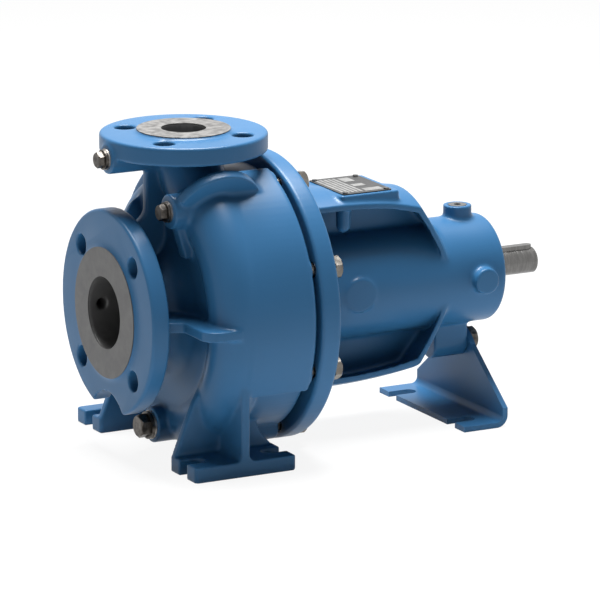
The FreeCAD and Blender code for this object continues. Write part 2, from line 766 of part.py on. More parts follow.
def casing_ribs():
    """Gusset and web below the discharge flange, side fin, crest rib and far fin."""
    front = -GUSSET_FRONT
    root = SUCTION_NECK_RADIUS - RIB_SINK
    flange = FLANGE_BACK - TOOL_OVERRUN
    underside = DISCHARGE_UNDERSIDE + TOOL_OVERRUN
    gusset = slab(
        lambda x, z: Vector(x, 0, z),
        FAR * GUSSET_THICKNESS,
        (front, underside),
        (front, GUSSET_BEND_HEIGHT),
        ((front - GUSSET_BEND_MIDDLE[0], GUSSET_BEND_HEIGHT - GUSSET_BEND_MIDDLE[1]),
         (front - GUSSET_BEND_END[0], GUSSET_BEND_HEIGHT - GUSSET_BEND_END[1])),
        (flange, GUSSET_FLANGE_HEIGHT),
        (flange, SHAFT_HEIGHT + root),
        (-GUSSET_BACK, SHAFT_HEIGHT + root),
        (-GUSSET_BACK, underside),
    )
    fin = slab(
        lambda x, reach: Vector(x, -reach, SHAFT_HEIGHT),
        UP * SIDE_FIN_THICKNESS,
        (flange, root),
        (flange, SIDE_FIN_ROOT),
        SIDE_FIN_INNER_BEND,
        SIDE_FIN_OUTER_BEND,
        (SIDE_FIN_SHOULDER, SIDE_FIN_REACH),
        SIDE_FIN_TIP,
        (SIDE_FIN_TIP[0], root),
    )
    vent_web = slab(
        lambda x, z: Vector(x, VENT_Y, z),
        FAR * VENT_WEB_THICKNESS,
        VENT_WEB_FRONT,
        VENT_WEB_FOOT,
        (-GUSSET_BACK, VENT_WEB_FOOT[1]),
        (-GUSSET_BACK, VENT_WEB_FRONT[1]),
    )
    beak_x = CREST_RIB_BACK - CREST_RIB_BEAK[0]
    crest = slab(
        lambda x, radius: on_axis(x, radius),
        FAR * CREST_RIB_THICKNESS,
        (-CREST_RIB_FRONT, CREST_RIB_END_RADIUS),
        ((0, CREST_RIB_RADIUS),
         (CREST_RIB_BACK, CREST_RIB_END_RADIUS + CREST_RIB_BACK_RISE)),
        (beak_x, CREST_RIB_END_RADIUS - CREST_RIB_BEAK[1]),
        (beak_x, FRONT_WALL_RADIUS),
        (0, FRONT_WALL_RADIUS),
        CREST_RIB_HEEL,
    )
    crest.rotate(on_axis(0), AXIS, CREST_RIB_ANGLE)
    far_fin = slab(
        lambda x, radius: on_axis(x, radius),
        FAR * FAR_FIN_THICKNESS,
        (FAR_FIN_FRONT[0], root),
        FAR_FIN_FRONT,
        (FAR_FIN_SHOULDER, FAR_FIN_BEND),
        FAR_FIN_BACK,
        (FAR_FIN_BACK[0], root),
    )
    far_fin.rotate(on_axis(0), AXIS, FAR_FIN_ANGLE)
    return [gusset, fin, vent_web, crest, far_fin]


def casing_bosses():
    """Bosses for the drain plug, the vent plug and the two gauge plugs."""
    drain = shaft_rod(-DRAIN_BOSS_FRONT, 0, DRAIN_BOSS_RADIUS, 0, DRAIN_HEIGHT)
    discharge = shaft_rod(-DISCHARGE_GAUGE_FRONT, 0, DISCHARGE_GAUGE_RADIUS,
                          0, DISCHARGE_GAUGE_HEIGHT)
    vent = shaft_rod(-VENT_BOSS_FRONT, 0, VENT_BOSS_RADIUS, VENT_Y, VENT_HEIGHT)
    suction = rod(Vector(SUCTION_GAUGE_X, 0, SHAFT_HEIGHT), FAR,
                  SUCTION_GAUGE_REACH, SUCTION_GAUGE_BOSS_RADIUS)
    return [drain, discharge, vent, suction]


def drain_plug_places():
    return [(Vector(-DRAIN_BOSS_FRONT, 0, DRAIN_HEIGHT), AXIS * -1)]


def gauge_plug_places():
    """Seat and outward direction of each small hexagon plug."""
    return [
        (Vector(-DISCHARGE_GAUGE_FRONT, 0, DISCHARGE_GAUGE_HEIGHT), AXIS * -1),
        (Vector(-VENT_BOSS_FRONT, VENT_Y, VENT_HEIGHT), AXIS * -1),
    ]


def suction_gauge_place():
    return (Vector(SUCTION_GAUGE_X, SUCTION_GAUGE_REACH, SHAFT_HEIGHT), FAR)


def plug_holes():
    """Threaded seats of the plugs and the small passages behind them."""
    holes = []
    for seat, out in drain_plug_places():
        bottom = seat - out * (DRAIN_PLUG_DEPTH + TOOL_OVERRUN)
        holes.append(rod(bottom, out, DRAIN_PLUG_DEPTH + 2 * TOOL_OVERRUN,
                         DRAIN_THREAD_RADIUS + FIT_GAP))
        holes.append(rod(Vector(0, 0, seat.z), out, DRAIN_BOSS_FRONT - PASSAGE_STOP,
                         GAUGE_PASSAGE_RADIUS))
    reaches = (DISCHARGE_GAUGE_FRONT, VENT_BOSS_FRONT, SUCTION_GAUGE_REACH)
    places = gauge_plug_places() + [suction_gauge_place()]
    for (seat, out), reach in zip(places, reaches):
        bottom = seat - out * (GAUGE_PLUG_DEPTH + TOOL_OVERRUN)
        holes.append(rod(bottom, out, GAUGE_PLUG_DEPTH + 2 * TOOL_OVERRUN,
                         GAUGE_THREAD_RADIUS + FIT_GAP))
        holes.append(rod(seat - out * reach, out, reach - PASSAGE_STOP,
                         GAUGE_PASSAGE_RADIUS))
    return holes


def casing_inside():
    """Suction bore, wear ring seat, impeller chamber and cover seat."""
    chamber_radius = IMPELLER_RADIUS + CHAMBER_RIM_GAP
    seat_back = -WEAR_RING_FRONT + WEAR_RING_LENGTH
    cover_bore = COVER_RADIUS + RUNNING_GAP
    rim_bore = COVER_FLANGE_RADIUS + RUNNING_GAP
    mouth = -SUCTION_REACH - TOOL_OVERRUN
    drum_mouth = DRUM_BACK + TOOL_OVERRUN
    return turned(
        (mouth, 0),
        (mouth, SUCTION_BORE_RADIUS),
        (-WEAR_RING_FRONT, SUCTION_BORE_RADIUS),
        (-WEAR_RING_FRONT, WEAR_RING_RADIUS + FIT_GAP),
        (seat_back, WEAR_RING_RADIUS + FIT_GAP),
        (seat_back, WEAR_RING_RADIUS + WEAR_RING_SHOULDER),
        (-CHAMBER_FRONT, FRONT_WALL_TAPER_RADIUS),
        (-CHAMBER_FRONT, chamber_radius),
        (CHAMBER_FRONT, chamber_radius),
        (CHAMBER_FRONT, cover_bore),
        (COVER_FLANGE_FRONT - GASKET_THICKNESS, cover_bore),
        (COVER_FLANGE_FRONT - GASKET_THICKNESS, rim_bore),
        (drum_mouth, rim_bore),
        (drum_mouth, 0),
    )


def cover_bolt_holes(x_start, x_end, radius):
    hole = shaft_rod(x_start, x_end, radius, 0, SHAFT_HEIGHT + COVER_BOLT_CIRCLE / 2)
    return around_shaft(hole, COVER_BOLTS, COVER_BOLT_FIRST)


def casing():
    """The volute casing, one casting with both flanges and the two feet."""
    body = [suction_neck(), spiral(-VOLUTE_RUN_IN, CASING_WALL)]
    body.append(outlet_duct(CASING_WALL, DISCHARGE_NECK_RADIUS))
    body.append(discharge_flange())
    body += drum()
    body += casing_bosses()
    body += casing_ribs()
    for side in (-1, 1):
        body += casing_foot(side)
    cast = body[0].multiFuse(body[1:])
    notch = shaft_rod(-SUCTION_REACH - TOOL_OVERRUN, FLANGE_BACK + TOOL_OVERRUN,
                      DRAIN_NOTCH_RADIUS, 0, DRAIN_HEIGHT)
    suction_centre = Vector(-SUCTION_REACH - TOOL_OVERRUN, 0, SHAFT_HEIGHT)
    discharge_centre = Vector(0, 0, DISCHARGE_UNDERSIDE - TOOL_OVERRUN)
    tools = [casing_inside(), spiral(0, 0), notch]
    tools.append(outlet_duct(0, DISCHARGE_BORE_RADIUS))
    tools += flange_holes(suction_centre, AXIS, UP, SUCTION_BOLT_CIRCLE,
                          SUCTION_FLANGE_THICKNESS + 2 * TOOL_OVERRUN)
    tools += flange_holes(discharge_centre, UP, AXIS, DISCHARGE_BOLT_CIRCLE,
                          DISCHARGE_FLANGE_THICKNESS + 2 * TOOL_OVERRUN)
    tools += casing_foot_slots()
    tools += plug_holes()
    bolt_depth = BRACKET_FRONT - BOLT_GRIP - BOLT_HOLE_EXTRA
    tools += cover_bolt_holes(bolt_depth, DRUM_BACK + TOOL_OVERRUN, BOLT_RADIUS + FIT_GAP)
    for tool in tools:
        cast = cast.cut(tool)
    return cast.removeSplitter()


def casing_cover():
    """Deep cover that carries the seal chamber on radial ribs."""
    rim_back = COVER_FLANGE_FRONT + COVER_FLANGE_THICKNESS
    disc_back = COVER_FRONT + COVER_DISC
    hub = SEAL_CHAMBER_RADIUS + SEAL_CHAMBER_WALL
    hub_back = SEAL_CHAMBER_BACK + SEAL_REAR_WALL
    seat = SEAL_SEAT_RADIUS + FIT_GAP
    shaft_hole = SEAL_SEAT_BORE + TOOL_OVERRUN
    inner = COVER_RADIUS - COVER_WALL
    shell = turned(
        (COVER_FRONT, SEAL_CHAMBER_RADIUS),
        (COVER_FRONT, COVER_RADIUS),
        (COVER_FLANGE_FRONT, COVER_RADIUS),
        (COVER_FLANGE_FRONT, COVER_FLANGE_RADIUS),
        (rim_back, COVER_FLANGE_RADIUS),
        (rim_back, inner),
        (disc_back + COVER_CORNER, inner),
        (disc_back, inner - COVER_CORNER),
        (disc_back, hub),
        (hub_back, hub),
        (hub_back, shaft_hole),
        (SEAL_CHAMBER_BACK, shaft_hole),
        (SEAL_CHAMBER_BACK, seat),
        (SEAL_CHAMBER_BACK - SEAL_SEAT_POCKET, seat),
        (SEAL_CHAMBER_BACK - SEAL_SEAT_POCKET, SEAL_CHAMBER_RADIUS),
    )
    rib = slab(
        lambda x, radius: on_axis(x, radius),
        FAR * COVER_RIB_THICKNESS,
        (disc_back - TOOL_OVERRUN, hub - TOOL_OVERRUN),
        (disc_back - TOOL_OVERRUN, inner + TOOL_OVERRUN),
        (rim_back - COVER_RIB_LENGTH, inner + TOOL_OVERRUN),
        (disc_back + COVER_RIB_LENGTH, hub - TOOL_OVERRUN),
    )
    return joined([shell] + around_shaft(rib, COVER_RIBS, 0))


def casing_gasket():
    inner = COVER_RADIUS + 2 * RUNNING_GAP
    return tube(COVER_FLANGE_FRONT - GASKET_THICKNESS, COVER_FLANGE_FRONT,
                COVER_FLANGE_RADIUS - RUNNING_GAP, inner)


def wear_ring():
    return tube(-WEAR_RING_FRONT, -WEAR_RING_FRONT + WEAR_RING_LENGTH,
                WEAR_RING_RADIUS, WEAR_RING_BORE)


def shroud_curve(side):
    """Curve of one wall of the impeller passage, from the rim towards the eye."""
    half = OUTLET_WIDTH / 2
    if side < 0:
        neck_end = (-EYE_FRONT + EYE_NECK_LENGTH, EYE_RADIUS + TOOL_OVERRUN)
        points = [(-half, IMPELLER_RADIUS), FRONT_PASSAGE_BEND, FRONT_PASSAGE_TURN,
                  neck_end, (-EYE_FRONT, EYE_RADIUS)]
    else:
        points = [(half, IMPELLER_RADIUS), BACK_PASSAGE_BEND, BACK_PASSAGE_TURN,
                  BACK_PASSAGE_EYE, (-IMPELLER_HUB_FRONT, IMPELLER_HUB_RADIUS)]
    curve = Part.BSplineCurve()
    curve.interpolate([on_axis(x, radius) for x, radius in points])
    return curve.toShape()


def curved_vane(length, start):
    """One backward curved vane of constant thickness, as a bar along the shaft."""
    spread = math.log(IMPELLER_RADIUS / VANE_INNER_RADIUS)
    pressure = []
    suction = []
    wrap = 0.0
    for step in range(VANE_STEPS + 1):
        share = step / VANE_STEPS
        slope = math.radians(VANE_INNER_ANGLE + share * (VANE_OUTER_ANGLE - VANE_INNER_ANGLE))
        if step:
            wrap += spread / VANE_STEPS / math.tan(slope)
        radius = VANE_INNER_RADIUS * math.exp(spread * share) + share * VANE_OVERRUN
        offset = VANE_THICKNESS / 2 / (radius * math.sin(slope))
        pressure.append(on_axis(start, radius, math.degrees(wrap + offset)))
        suction.append(on_axis(start, radius, math.degrees(wrap - offset)))
    outer = Part.BSplineCurve()
    outer.interpolate(pressure)
    inner = Part.BSplineCurve()
    inner.interpolate(suction)
    edges = [outer.toShape()]
    edges.append(Part.LineSegment(pressure[-1], suction[-1]).toShape())
    edges.append(inner.toShape())
    edges.append(Part.LineSegment(suction[0], pressure[0]).toShape())
    return Part.Face(Part.Wire(Part.__sortEdges__(edges))).extrude(AXIS * length)


def impeller():
    """Closed impeller: two shrouds with curved vanes between them and a keyed hub."""
    half = OUTLET_WIDTH / 2
    front_curve = shroud_curve(-1)
    back_curve = shroud_curve(1)
    back_face = half + SHROUD_WALL
    neck = EYE_RADIUS + SHROUD_WALL
    rim_line = Part.LineSegment(on_axis(half, IMPELLER_RADIUS), on_axis(-half, IMPELLER_RADIUS))
    eye_line = Part.makePolygon([
        on_axis(-EYE_FRONT, EYE_RADIUS),
        on_axis(-EYE_FRONT, 0),
        on_axis(-IMPELLER_HUB_FRONT, 0),
        on_axis(-IMPELLER_HUB_FRONT, IMPELLER_HUB_RADIUS),
    ])
    edges = [rim_line.toShape(), front_curve, back_curve] + eye_line.Edges
    passage_face = Part.Face(Part.Wire(Part.__sortEdges__(edges)))
    passage = passage_face.revolve(on_axis(0), AXIS, 360)
    blank = turned(
        (-EYE_FRONT, 0),
        (-EYE_FRONT, neck),
        (-EYE_FRONT + EYE_NECK_LENGTH, neck),
        (FRONT_SHROUD_TURN, FRONT_SHROUD_BEND),
        (-half - SHROUD_WALL, IMPELLER_RADIUS),
        (back_face, IMPELLER_RADIUS),
        (back_face, IMPELLER_HUB_BACK_RADIUS),
        (IMPELLER_HUB_BACK, IMPELLER_HUB_BACK_RADIUS),
        (IMPELLER_HUB_BACK, 0),
    )
    shrouds = blank.cut(passage)
    vane = curved_vane(2 * EYE_FRONT, -EYE_FRONT)
    vane = vane.common(shaft_rod(-EYE_FRONT, EYE_FRONT, IMPELLER_RADIUS))
    vanes = [copy.common(passage) for copy in around_shaft(vane, VANES, 0)]
    wheel = joined([shrouds] + vanes)
    hole = shaft_rod(0, back_face + TOOL_OVERRUN, BALANCE_HOLE_RADIUS, 0,
                     SHAFT_HEIGHT + BALANCE_HOLE_CIRCLE)
    tools = around_shaft(hole, VANES, 180.0 / VANES)
    tools.append(shaft_rod(-EYE_FRONT, IMPELLER_HUB_BACK + TOOL_OVERRUN,
                           SHAFT_IMPELLER_RADIUS + SHAFT_FIT_GAP))
    tools.append(impeller_key(FIT_GAP))
    for tool in tools:
        wheel = wheel.cut(tool)
    return wheel


def impeller_key(gap=0.0):
    half = IMPELLER_KEY_WIDTH / 2 + gap
    low = SHAFT_HEIGHT + SHAFT_IMPELLER_RADIUS - IMPELLER_KEY_SEAT
    start = IMPELLER_KEY_START - gap
    end = IMPELLER_KEY_START + IMPELLER_KEY_LENGTH + gap
    return block(start, end, -half, half, low, low + IMPELLER_KEY_HEIGHT + gap)


def impeller_washer():
    front = -IMPELLER_HUB_FRONT - IMPELLER_WASHER_THICKNESS
    return tube(front, -IMPELLER_HUB_FRONT, IMPELLER_HUB_RADIUS - FIT_GAP,
                SHAFT_THREAD_RADIUS + SHAFT_FIT_GAP)


def impeller_nut():
    """Domed hexagon nut that holds the impeller on the shaft."""
    back = -IMPELLER_HUB_FRONT - IMPELLER_WASHER_THICKNESS
    front = back - IMPELLER_NUT_LENGTH
    corner = IMPELLER_NUT_FLATS / math.sqrt(3)
    body = hexagon_bar(on_axis(front), AXIS, IMPELLER_NUT_LENGTH, IMPELLER_NUT_FLATS)
    cap = corner * IMPELLER_NUT_CAP_SHARE
    face = corner * IMPELLER_NUT_FACE_SHARE
    dome_share, dome_out = IMPELLER_NUT_DOME
    form = turned(
        (front - IMPELLER_NUT_CAP, 0),
        ((front - IMPELLER_NUT_CAP * dome_share, corner * dome_out), (front, cap)),
        (front, face),
        (front + IMPELLER_NUT_CHAMFER, corner),
        (back - IMPELLER_NUT_CHAMFER, corner),
        (back, face),
        (back, 0),
    )
    dome = form.common(shaft_rod(front - IMPELLER_NUT_CAP, front, cap))
    nut = form.common(body).fuse(dome).removeSplitter()
    return nut.cut(shaft_rod(-SHAFT_FRONT - SHAFT_FIT_GAP, back + TOOL_OVERRUN,
                             SHAFT_THREAD_RADIUS + SHAFT_FIT_GAP))


def shaft():
    """Stepped shaft with keyways and a circlip groove."""
    neck_end = -IMPELLER_HUB_FRONT
    groove_start = DRIVE_BEARING_X + BEARING_WIDTH
    bearing_end = groove_start + SHAFT_CIRCLIP_THICKNESS + BEARING_SEAT_TAIL
    seat_start = PUMP_BEARING_X - BEARING_SEAT_LEAD
    end_start = DRIVE_REACH - SHAFT_END_LENGTH
    cut = SHAFT_CHAMFER
    body = turned(
        (-SHAFT_FRONT, 0),
        (-SHAFT_FRONT, SHAFT_THREAD_RADIUS - cut),
        (-SHAFT_FRONT + cut, SHAFT_THREAD_RADIUS),
        (neck_end, SHAFT_THREAD_RADIUS),
        (neck_end, SHAFT_IMPELLER_RADIUS),
        (IMPELLER_HUB_BACK, SHAFT_IMPELLER_RADIUS),
        (IMPELLER_HUB_BACK, SHAFT_SEAL_RADIUS),
        (seat_start, SHAFT_SEAL_RADIUS),
        (seat_start, SHAFT_BEARING_RADIUS),
        (PUMP_BEARING_X + BEARING_WIDTH, SHAFT_BEARING_RADIUS),
        (PUMP_BEARING_X + BEARING_WIDTH, SHAFT_MIDDLE_RADIUS),
        (DRIVE_BEARING_X, SHAFT_MIDDLE_RADIUS),
        (DRIVE_BEARING_X, SHAFT_BEARING_RADIUS),
        (bearing_end, SHAFT_BEARING_RADIUS),
        (bearing_end, SHAFT_SEAL_RADIUS),
        (end_start, SHAFT_SEAL_RADIUS),
        (end_start, SHAFT_END_RADIUS),
        (DRIVE_REACH - cut, SHAFT_END_RADIUS),
        (DRIVE_REACH, SHAFT_END_RADIUS - cut),
        (DRIVE_REACH, 0),
    )
    groove = tube(groove_start, groove_start + SHAFT_CIRCLIP_THICKNESS,
                  SHAFT_BEARING_RADIUS + TOOL_OVERRUN,
                  SHAFT_BEARING_RADIUS - SHAFT_CIRCLIP_DEPTH)
    return without(body, [impeller_key(FIT_GAP), coupling_key(FIT_GAP), groove])


def coupling_key(gap=0.0):
    """Key with round ends in the top of the shaft's free end."""
    half = KEY_WIDTH / 2 + gap
    end = DRIVE_REACH - KEY_END_GAP + gap
    start = DRIVE_REACH - KEY_END_GAP - KEY_LENGTH - gap
    low = SHAFT_HEIGHT + SHAFT_END_RADIUS - KEY_SEAT
    height = KEY_HEIGHT + gap
    bar = block(start + half, end - half, -half, half, low, low + height)
    ends = [rod(Vector(x, 0, low), UP, height, half) for x in (start + half, end - half)]
    return joined([bar] + ends)


def seal_seat():
    """Stationary seal ring in the back of the seal chamber."""
    back = SEAL_CHAMBER_BACK
    return tube(back - SEAL_SEAT_LENGTH, back, SEAL_SEAT_RADIUS, SEAL_SEAT_BORE)


def seal_face():
    """Rotating carbon ring that runs on the stationary seat."""
    back = SEAL_CHAMBER_BACK - SEAL_SEAT_LENGTH - SEAL_FACE_GAP
    return tube(back - SEAL_FACE_LENGTH, back, SEAL_HEAD_RADIUS,
                SHAFT_SEAL_RADIUS + SHAFT_FIT_GAP)


def seal_collar():
    """Driving collar of the seal against the impeller hub."""
    return tube(IMPELLER_HUB_BACK, IMPELLER_HUB_BACK + SEAL_COLLAR_LENGTH,
                SEAL_HEAD_RADIUS, SHAFT_SEAL_RADIUS + SHAFT_FIT_GAP)


def seal_spring():
    """Helical spring between the collar and the carbon ring."""
    start = IMPELLER_HUB_BACK + SEAL_COLLAR_LENGTH + SEAL_SPRING_WIRE + FIT_GAP
    end = (SEAL_CHAMBER_BACK - SEAL_SEAT_LENGTH - SEAL_FACE_GAP - SEAL_FACE_LENGTH
           - SEAL_SPRING_WIRE - FIT_GAP)
    pitch = (end - start) / SEAL_SPRING_TURNS
    helix = Part.makeHelix(pitch, end - start, SEAL_SPRING_RADIUS)
    wire_section = Part.Wire(Part.makeCircle(SEAL_SPRING_WIRE,
                                             Vector(SEAL_SPRING_RADIUS, 0, 0), FAR))
    coil = Part.Wire(helix).makePipeShell([wire_section], True, True)
    coil.Placement = Placement(on_axis(start), Rotation(UP, AXIS))
    return coil


def ball_groove(x_middle):
    """The round groove that the balls of a bearing run in."""
    return Part.makeTorus(BALL_CIRCLE_RADIUS, BALL_RADIUS + RUNNING_GAP,
                          on_axis(x_middle), AXIS)


def bearing_outer_ring(x_start):
    end = x_start + BEARING_WIDTH
    ring = tube(x_start, end, BEARING_RADIUS, BALL_CIRCLE_RADIUS + BEARING_LAND)
    return ring.cut(ball_groove(x_start + BEARING_WIDTH / 2))


def bearing_inner_ring(x_start):
    end = x_start + BEARING_WIDTH
    ring = tube(x_start, end, BALL_CIRCLE_RADIUS - BEARING_LAND,
                SHAFT_BEARING_RADIUS + SHAFT_FIT_GAP)
    return ring.cut(ball_groove(x_start + BEARING_WIDTH / 2))


def bearing_balls(x_start):
    ball = Part.makeSphere(BALL_RADIUS, on_axis(x_start + BEARING_WIDTH / 2,
                                                BALL_CIRCLE_RADIUS))
    return Part.makeCompound(around_shaft(ball, BALLS, 0))


def bearing_cage(x_start):
    """Ring with a round pocket for each ball."""
    middle = x_start + BEARING_WIDTH / 2
    half = CAGE_WIDTH / 2
    ring = tube(middle - half, middle + half, BALL_CIRCLE_RADIUS + CAGE_WALL / 2,
                BALL_CIRCLE_RADIUS - CAGE_WALL / 2)
    pocket = rod(on_axis(middle, BALL_CIRCLE_RADIUS - CAGE_WALL), UP, 2 * CAGE_WALL,
                 BALL_RADIUS + FIT_GAP)
    return without(ring, around_shaft(pocket, BALLS, 0))


def housing_circlip():
    """Spring ring with a gap, in the groove outside the drive side bearing."""
    start = DRIVE_BEARING_X + BEARING_WIDTH
    outer = BEARING_RADIUS + CIRCLIP_DEPTH - FIT_GAP
    ring = tube(start, start + CIRCLIP_THICKNESS, outer, outer - CIRCLIP_WALL)
    half = HOUSING_CIRCLIP_OPENING / 2
    gap = block(start - TOOL_OVERRUN, start + CIRCLIP_THICKNESS + TOOL_OVERRUN, -half, half,
                SHAFT_HEIGHT - outer - TOOL_OVERRUN, SHAFT_HEIGHT)
    return ring.cut(gap)


def shaft_circlip():
    start = DRIVE_BEARING_X + BEARING_WIDTH
    inner = SHAFT_BEARING_RADIUS - SHAFT_CIRCLIP_DEPTH + FIT_GAP
    end = start + SHAFT_CIRCLIP_THICKNESS
    outer = inner + SHAFT_CIRCLIP_WALL
    half = SHAFT_CIRCLIP_OPENING / 2
    gap = block(start - TOOL_OVERRUN, end + TOOL_OVERRUN, -half, half,
                SHAFT_HEIGHT, SHAFT_HEIGHT + outer + TOOL_OVERRUN)
    return tube(start, end, outer, inner).cut(gap)


def lip_seal(x_start, outer_radius):
    """Radial shaft seal: a case with a lip that runs on the shaft."""
    end = x_start + LIP_SEAL_WIDTH
    lip = SHAFT_SEAL_RADIUS + RUNNING_GAP
    wall = LIP_SEAL_WALL
    return turned(
        (x_start, lip + LIP_SEAL_EDGE),
        (x_start, outer_radius),
        (end, outer_radius),
        (end, outer_radius - wall),
        (x_start + wall, outer_radius - wall),
        (x_start + wall, lip + LIP_SEAL_ROOT),
        (end - LIP_SEAL_TIP, lip + LIP_SEAL_EDGE),
        (end - wall, lip),
    )


def deflector():
    """Slinger disc on the shaft in front of the bearing housing."""
    start = DEFLECTOR_X
    bore = SHAFT_SEAL_RADIUS + SHAFT_FIT_GAP
    return turned(
        (start, bore),
        (start, bore + DEFLECTOR_HUB),
        (start + DEFLECTOR_LENGTH - DEFLECTOR_RIM, DEFLECTOR_RADIUS),
        (start + DEFLECTOR_LENGTH, DEFLECTOR_RADIUS),
        (start + DEFLECTOR_LENGTH, bore),
    )


def arm_solid(inset):
    """The body of revolution whose skin the top and bottom arms follow."""
    start = BRACKET_BACK - TOOL_OVERRUN
    return turned(
        (start, 0),
        (start, ARM_RADIUS - inset),
        (ARM_STRAIGHT_END, ARM_RADIUS - inset),
        ((ARM_MIDDLE_X, ARM_MIDDLE_RADIUS - inset),
         (ARM_BEND_X - inset / 2, ARM_BEND_RADIUS - inset)),
        (ARM_END_X - inset, BARREL_RADIUS - TOOL_OVERRUN),
        (ARM_END_X - inset, 0),
    )


def bracket_arms():
    """Top and bottom arms: a wide curved plate on a narrow web."""
    skin = arm_solid(0).cut(arm_solid(ARM_PLATE))
    start = BRACKET_BACK - TOOL_OVERRUN
    reach = ARM_RADIUS + TOOL_OVERRUN
    wide = slab(
        lambda x, y: Vector(x, y, SHAFT_HEIGHT),
        UP * (2 * reach),
        (start, -ARM_HALF_WIDTH),
        (ARM_WIDENING_X, -ARM_HALF_WIDTH),
        (ARM_END_X, -ARM_END_HALF_WIDTH),
        (ARM_END_X, ARM_END_HALF_WIDTH),
        (ARM_WIDENING_X, ARM_HALF_WIDTH),
        (start, ARM_HALF_WIDTH),
    )
    narrow = block(start, ARM_END_X, -ARM_WEB / 2, ARM_WEB / 2,
                   SHAFT_HEIGHT - reach, SHAFT_HEIGHT + reach)
    return [skin.common(wide), arm_solid(0).common(narrow)]


def arm_tabs():
    """Round bosses that hang from the top arm beside the barrel."""
    tabs = []
    top = SHAFT_HEIGHT + math.sqrt(ARM_RADIUS ** 2 - ARM_TAB_Y ** 2) - ARM_PLATE / 2
    for side in (-1, 1):
        start = Vector(ARM_TAB_X, side * ARM_TAB_Y, top)
        tabs.append(round_ended_rod(start, UP * -1, ARM_TAB_LENGTH, ARM_TAB_RADIUS))
    return tabs


def name_plate_pad():
    pad = block(PAD_FRONT, PAD_BACK, -PAD_HALF_WIDTH, PAD_HALF_WIDTH,
                SHAFT_HEIGHT + ARM_RADIUS - PAD_SINK, PAD_TOP)
    return rounded(pad, PAD_CORNER, lambda edge: abs(edge.tangentAt(0).z) > NEARLY_PARALLEL)


def bracket_ring():
    """Bolting ring, with pockets in its back between the arms."""
    corner = BRACKET_RING_CORNER
    ring = turned(
        (BRACKET_FRONT, 0),
        (BRACKET_FRONT, BRACKET_RING_RADIUS - corner),
        (BRACKET_FRONT + corner, BRACKET_RING_RADIUS),
        (BRACKET_BACK - corner, BRACKET_RING_RADIUS),
        (BRACKET_BACK, BRACKET_RING_RADIUS - corner),
        (BRACKET_BACK, 0),
    )
    pockets = []
    for index in range(BRACKET_POCKET_COUNT):
        middle = 90 + index * 360.0 / BRACKET_POCKET_COUNT
        pockets.append(turned(
            (BRACKET_BACK - BRACKET_POCKET_DEPTH, BRACKET_POCKET_INNER),
            (BRACKET_BACK - BRACKET_POCKET_DEPTH, BRACKET_POCKET_OUTER),
            (BRACKET_BACK + TOOL_OVERRUN, BRACKET_POCKET_OUTER),
            (BRACKET_BACK + TOOL_OVERRUN, BRACKET_POCKET_INNER),
            sweep=2 * BRACKET_POCKET_HALF_ANGLE,
            angle=middle - BRACKET_POCKET_HALF_ANGLE,
        ))
    return without(ring, pockets)


def bracket_barrel():
    """Outside of the lantern and bearing housing."""
    corner = BARREL_CORNER
    chord = corner * (1 - CHORD)
    start = BRACKET_BACK - TOOL_OVERRUN
    return turned(
        (start, 0),
        (start, BARREL_RADIUS + BARREL_ROOT_RISE),
        ((BRACKET_BACK + BARREL_ROOT_BEND[0], BARREL_RADIUS + BARREL_ROOT_BEND[1]),
         (BRACKET_BACK + BARREL_ROOT_LENGTH, BARREL_RADIUS)),
        (BARREL_END - corner, BARREL_RADIUS),
        ((BARREL_END - chord, BARREL_RADIUS - chord), (BARREL_END, BARREL_RADIUS - corner)),
        (BARREL_END, 0),
    )


def barrel_bosses():
    """Filler boss, side bosses and the lug that the support foot bolts to."""
    top = rod(on_axis(TOP_BOSS_X), UP, TOP_BOSS_REACH, TOP_BOSS_RADIUS)
    shapes = [top]
    for side in (-1, 1):
        way = FAR * side
        shapes.append(rod(on_axis(SIDE_BOSS_X), way, SIDE_BOSS_REACH, SIDE_BOSS_RADIUS))
        shapes.append(rod(on_axis(LANTERN_BOSS_X), way, LANTERN_BOSS_REACH,
                          LANTERN_BOSS_RADIUS))
    length = SUPPORT_X - FOOT_LUG_FRONT
    shapes.append(shaft_rod(FOOT_LUG_FRONT, SUPPORT_X, FOOT_LUG_HALF_WIDTH,
                            0, FOOT_LUG_BOLT_HEIGHT))
    shapes.append(Part.makeBox(length, 2 * FOOT_LUG_HALF_WIDTH,
                               SHAFT_HEIGHT - FOOT_LUG_BOLT_HEIGHT,
                               Vector(FOOT_LUG_FRONT, -FOOT_LUG_HALF_WIDTH,
                                      FOOT_LUG_BOLT_HEIGHT)))
    return shapes


def bracket_inside():
    """Lantern space, seal seats, bearing bores and circlip groove."""
    bearing_bore = BEARING_RADIUS + FIT_GAP
    groove_start = DRIVE_BEARING_X + BEARING_WIDTH
    mouth = BRACKET_FRONT - TOOL_OVERRUN
    shaft_passage = SHAFT_SEAL_RADIUS + SHAFT_PASSAGE_GAP
    seal_end = PUMP_SEAL_X + LIP_SEAL_WIDTH
    return turned(
        (mouth, 0),
        (mouth, LANTERN_RADIUS),
        (LANTERN_BACK, LANTERN_RADIUS),
        (LANTERN_BACK, shaft_passage),
        (PUMP_SEAL_X, shaft_passage),
        (PUMP_SEAL_X, PUMP_SEAL_RADIUS + FIT_GAP),
        (seal_end, PUMP_SEAL_RADIUS + FIT_GAP),
        (seal_end, BEARING_SHOULDER_RADIUS),
        (PUMP_BEARING_X, BEARING_SHOULDER_RADIUS),
        (PUMP_BEARING_X, bearing_bore),
        (groove_start, bearing_bore),
        (groove_start, BEARING_RADIUS + CIRCLIP_DEPTH),
        (groove_start + CIRCLIP_THICKNESS, BEARING_RADIUS + CIRCLIP_DEPTH),
        (groove_start + CIRCLIP_THICKNESS, bearing_bore),
        (BARREL_END + TOOL_OVERRUN, bearing_bore),
        (BARREL_END + TOOL_OVERRUN, 0),
    )


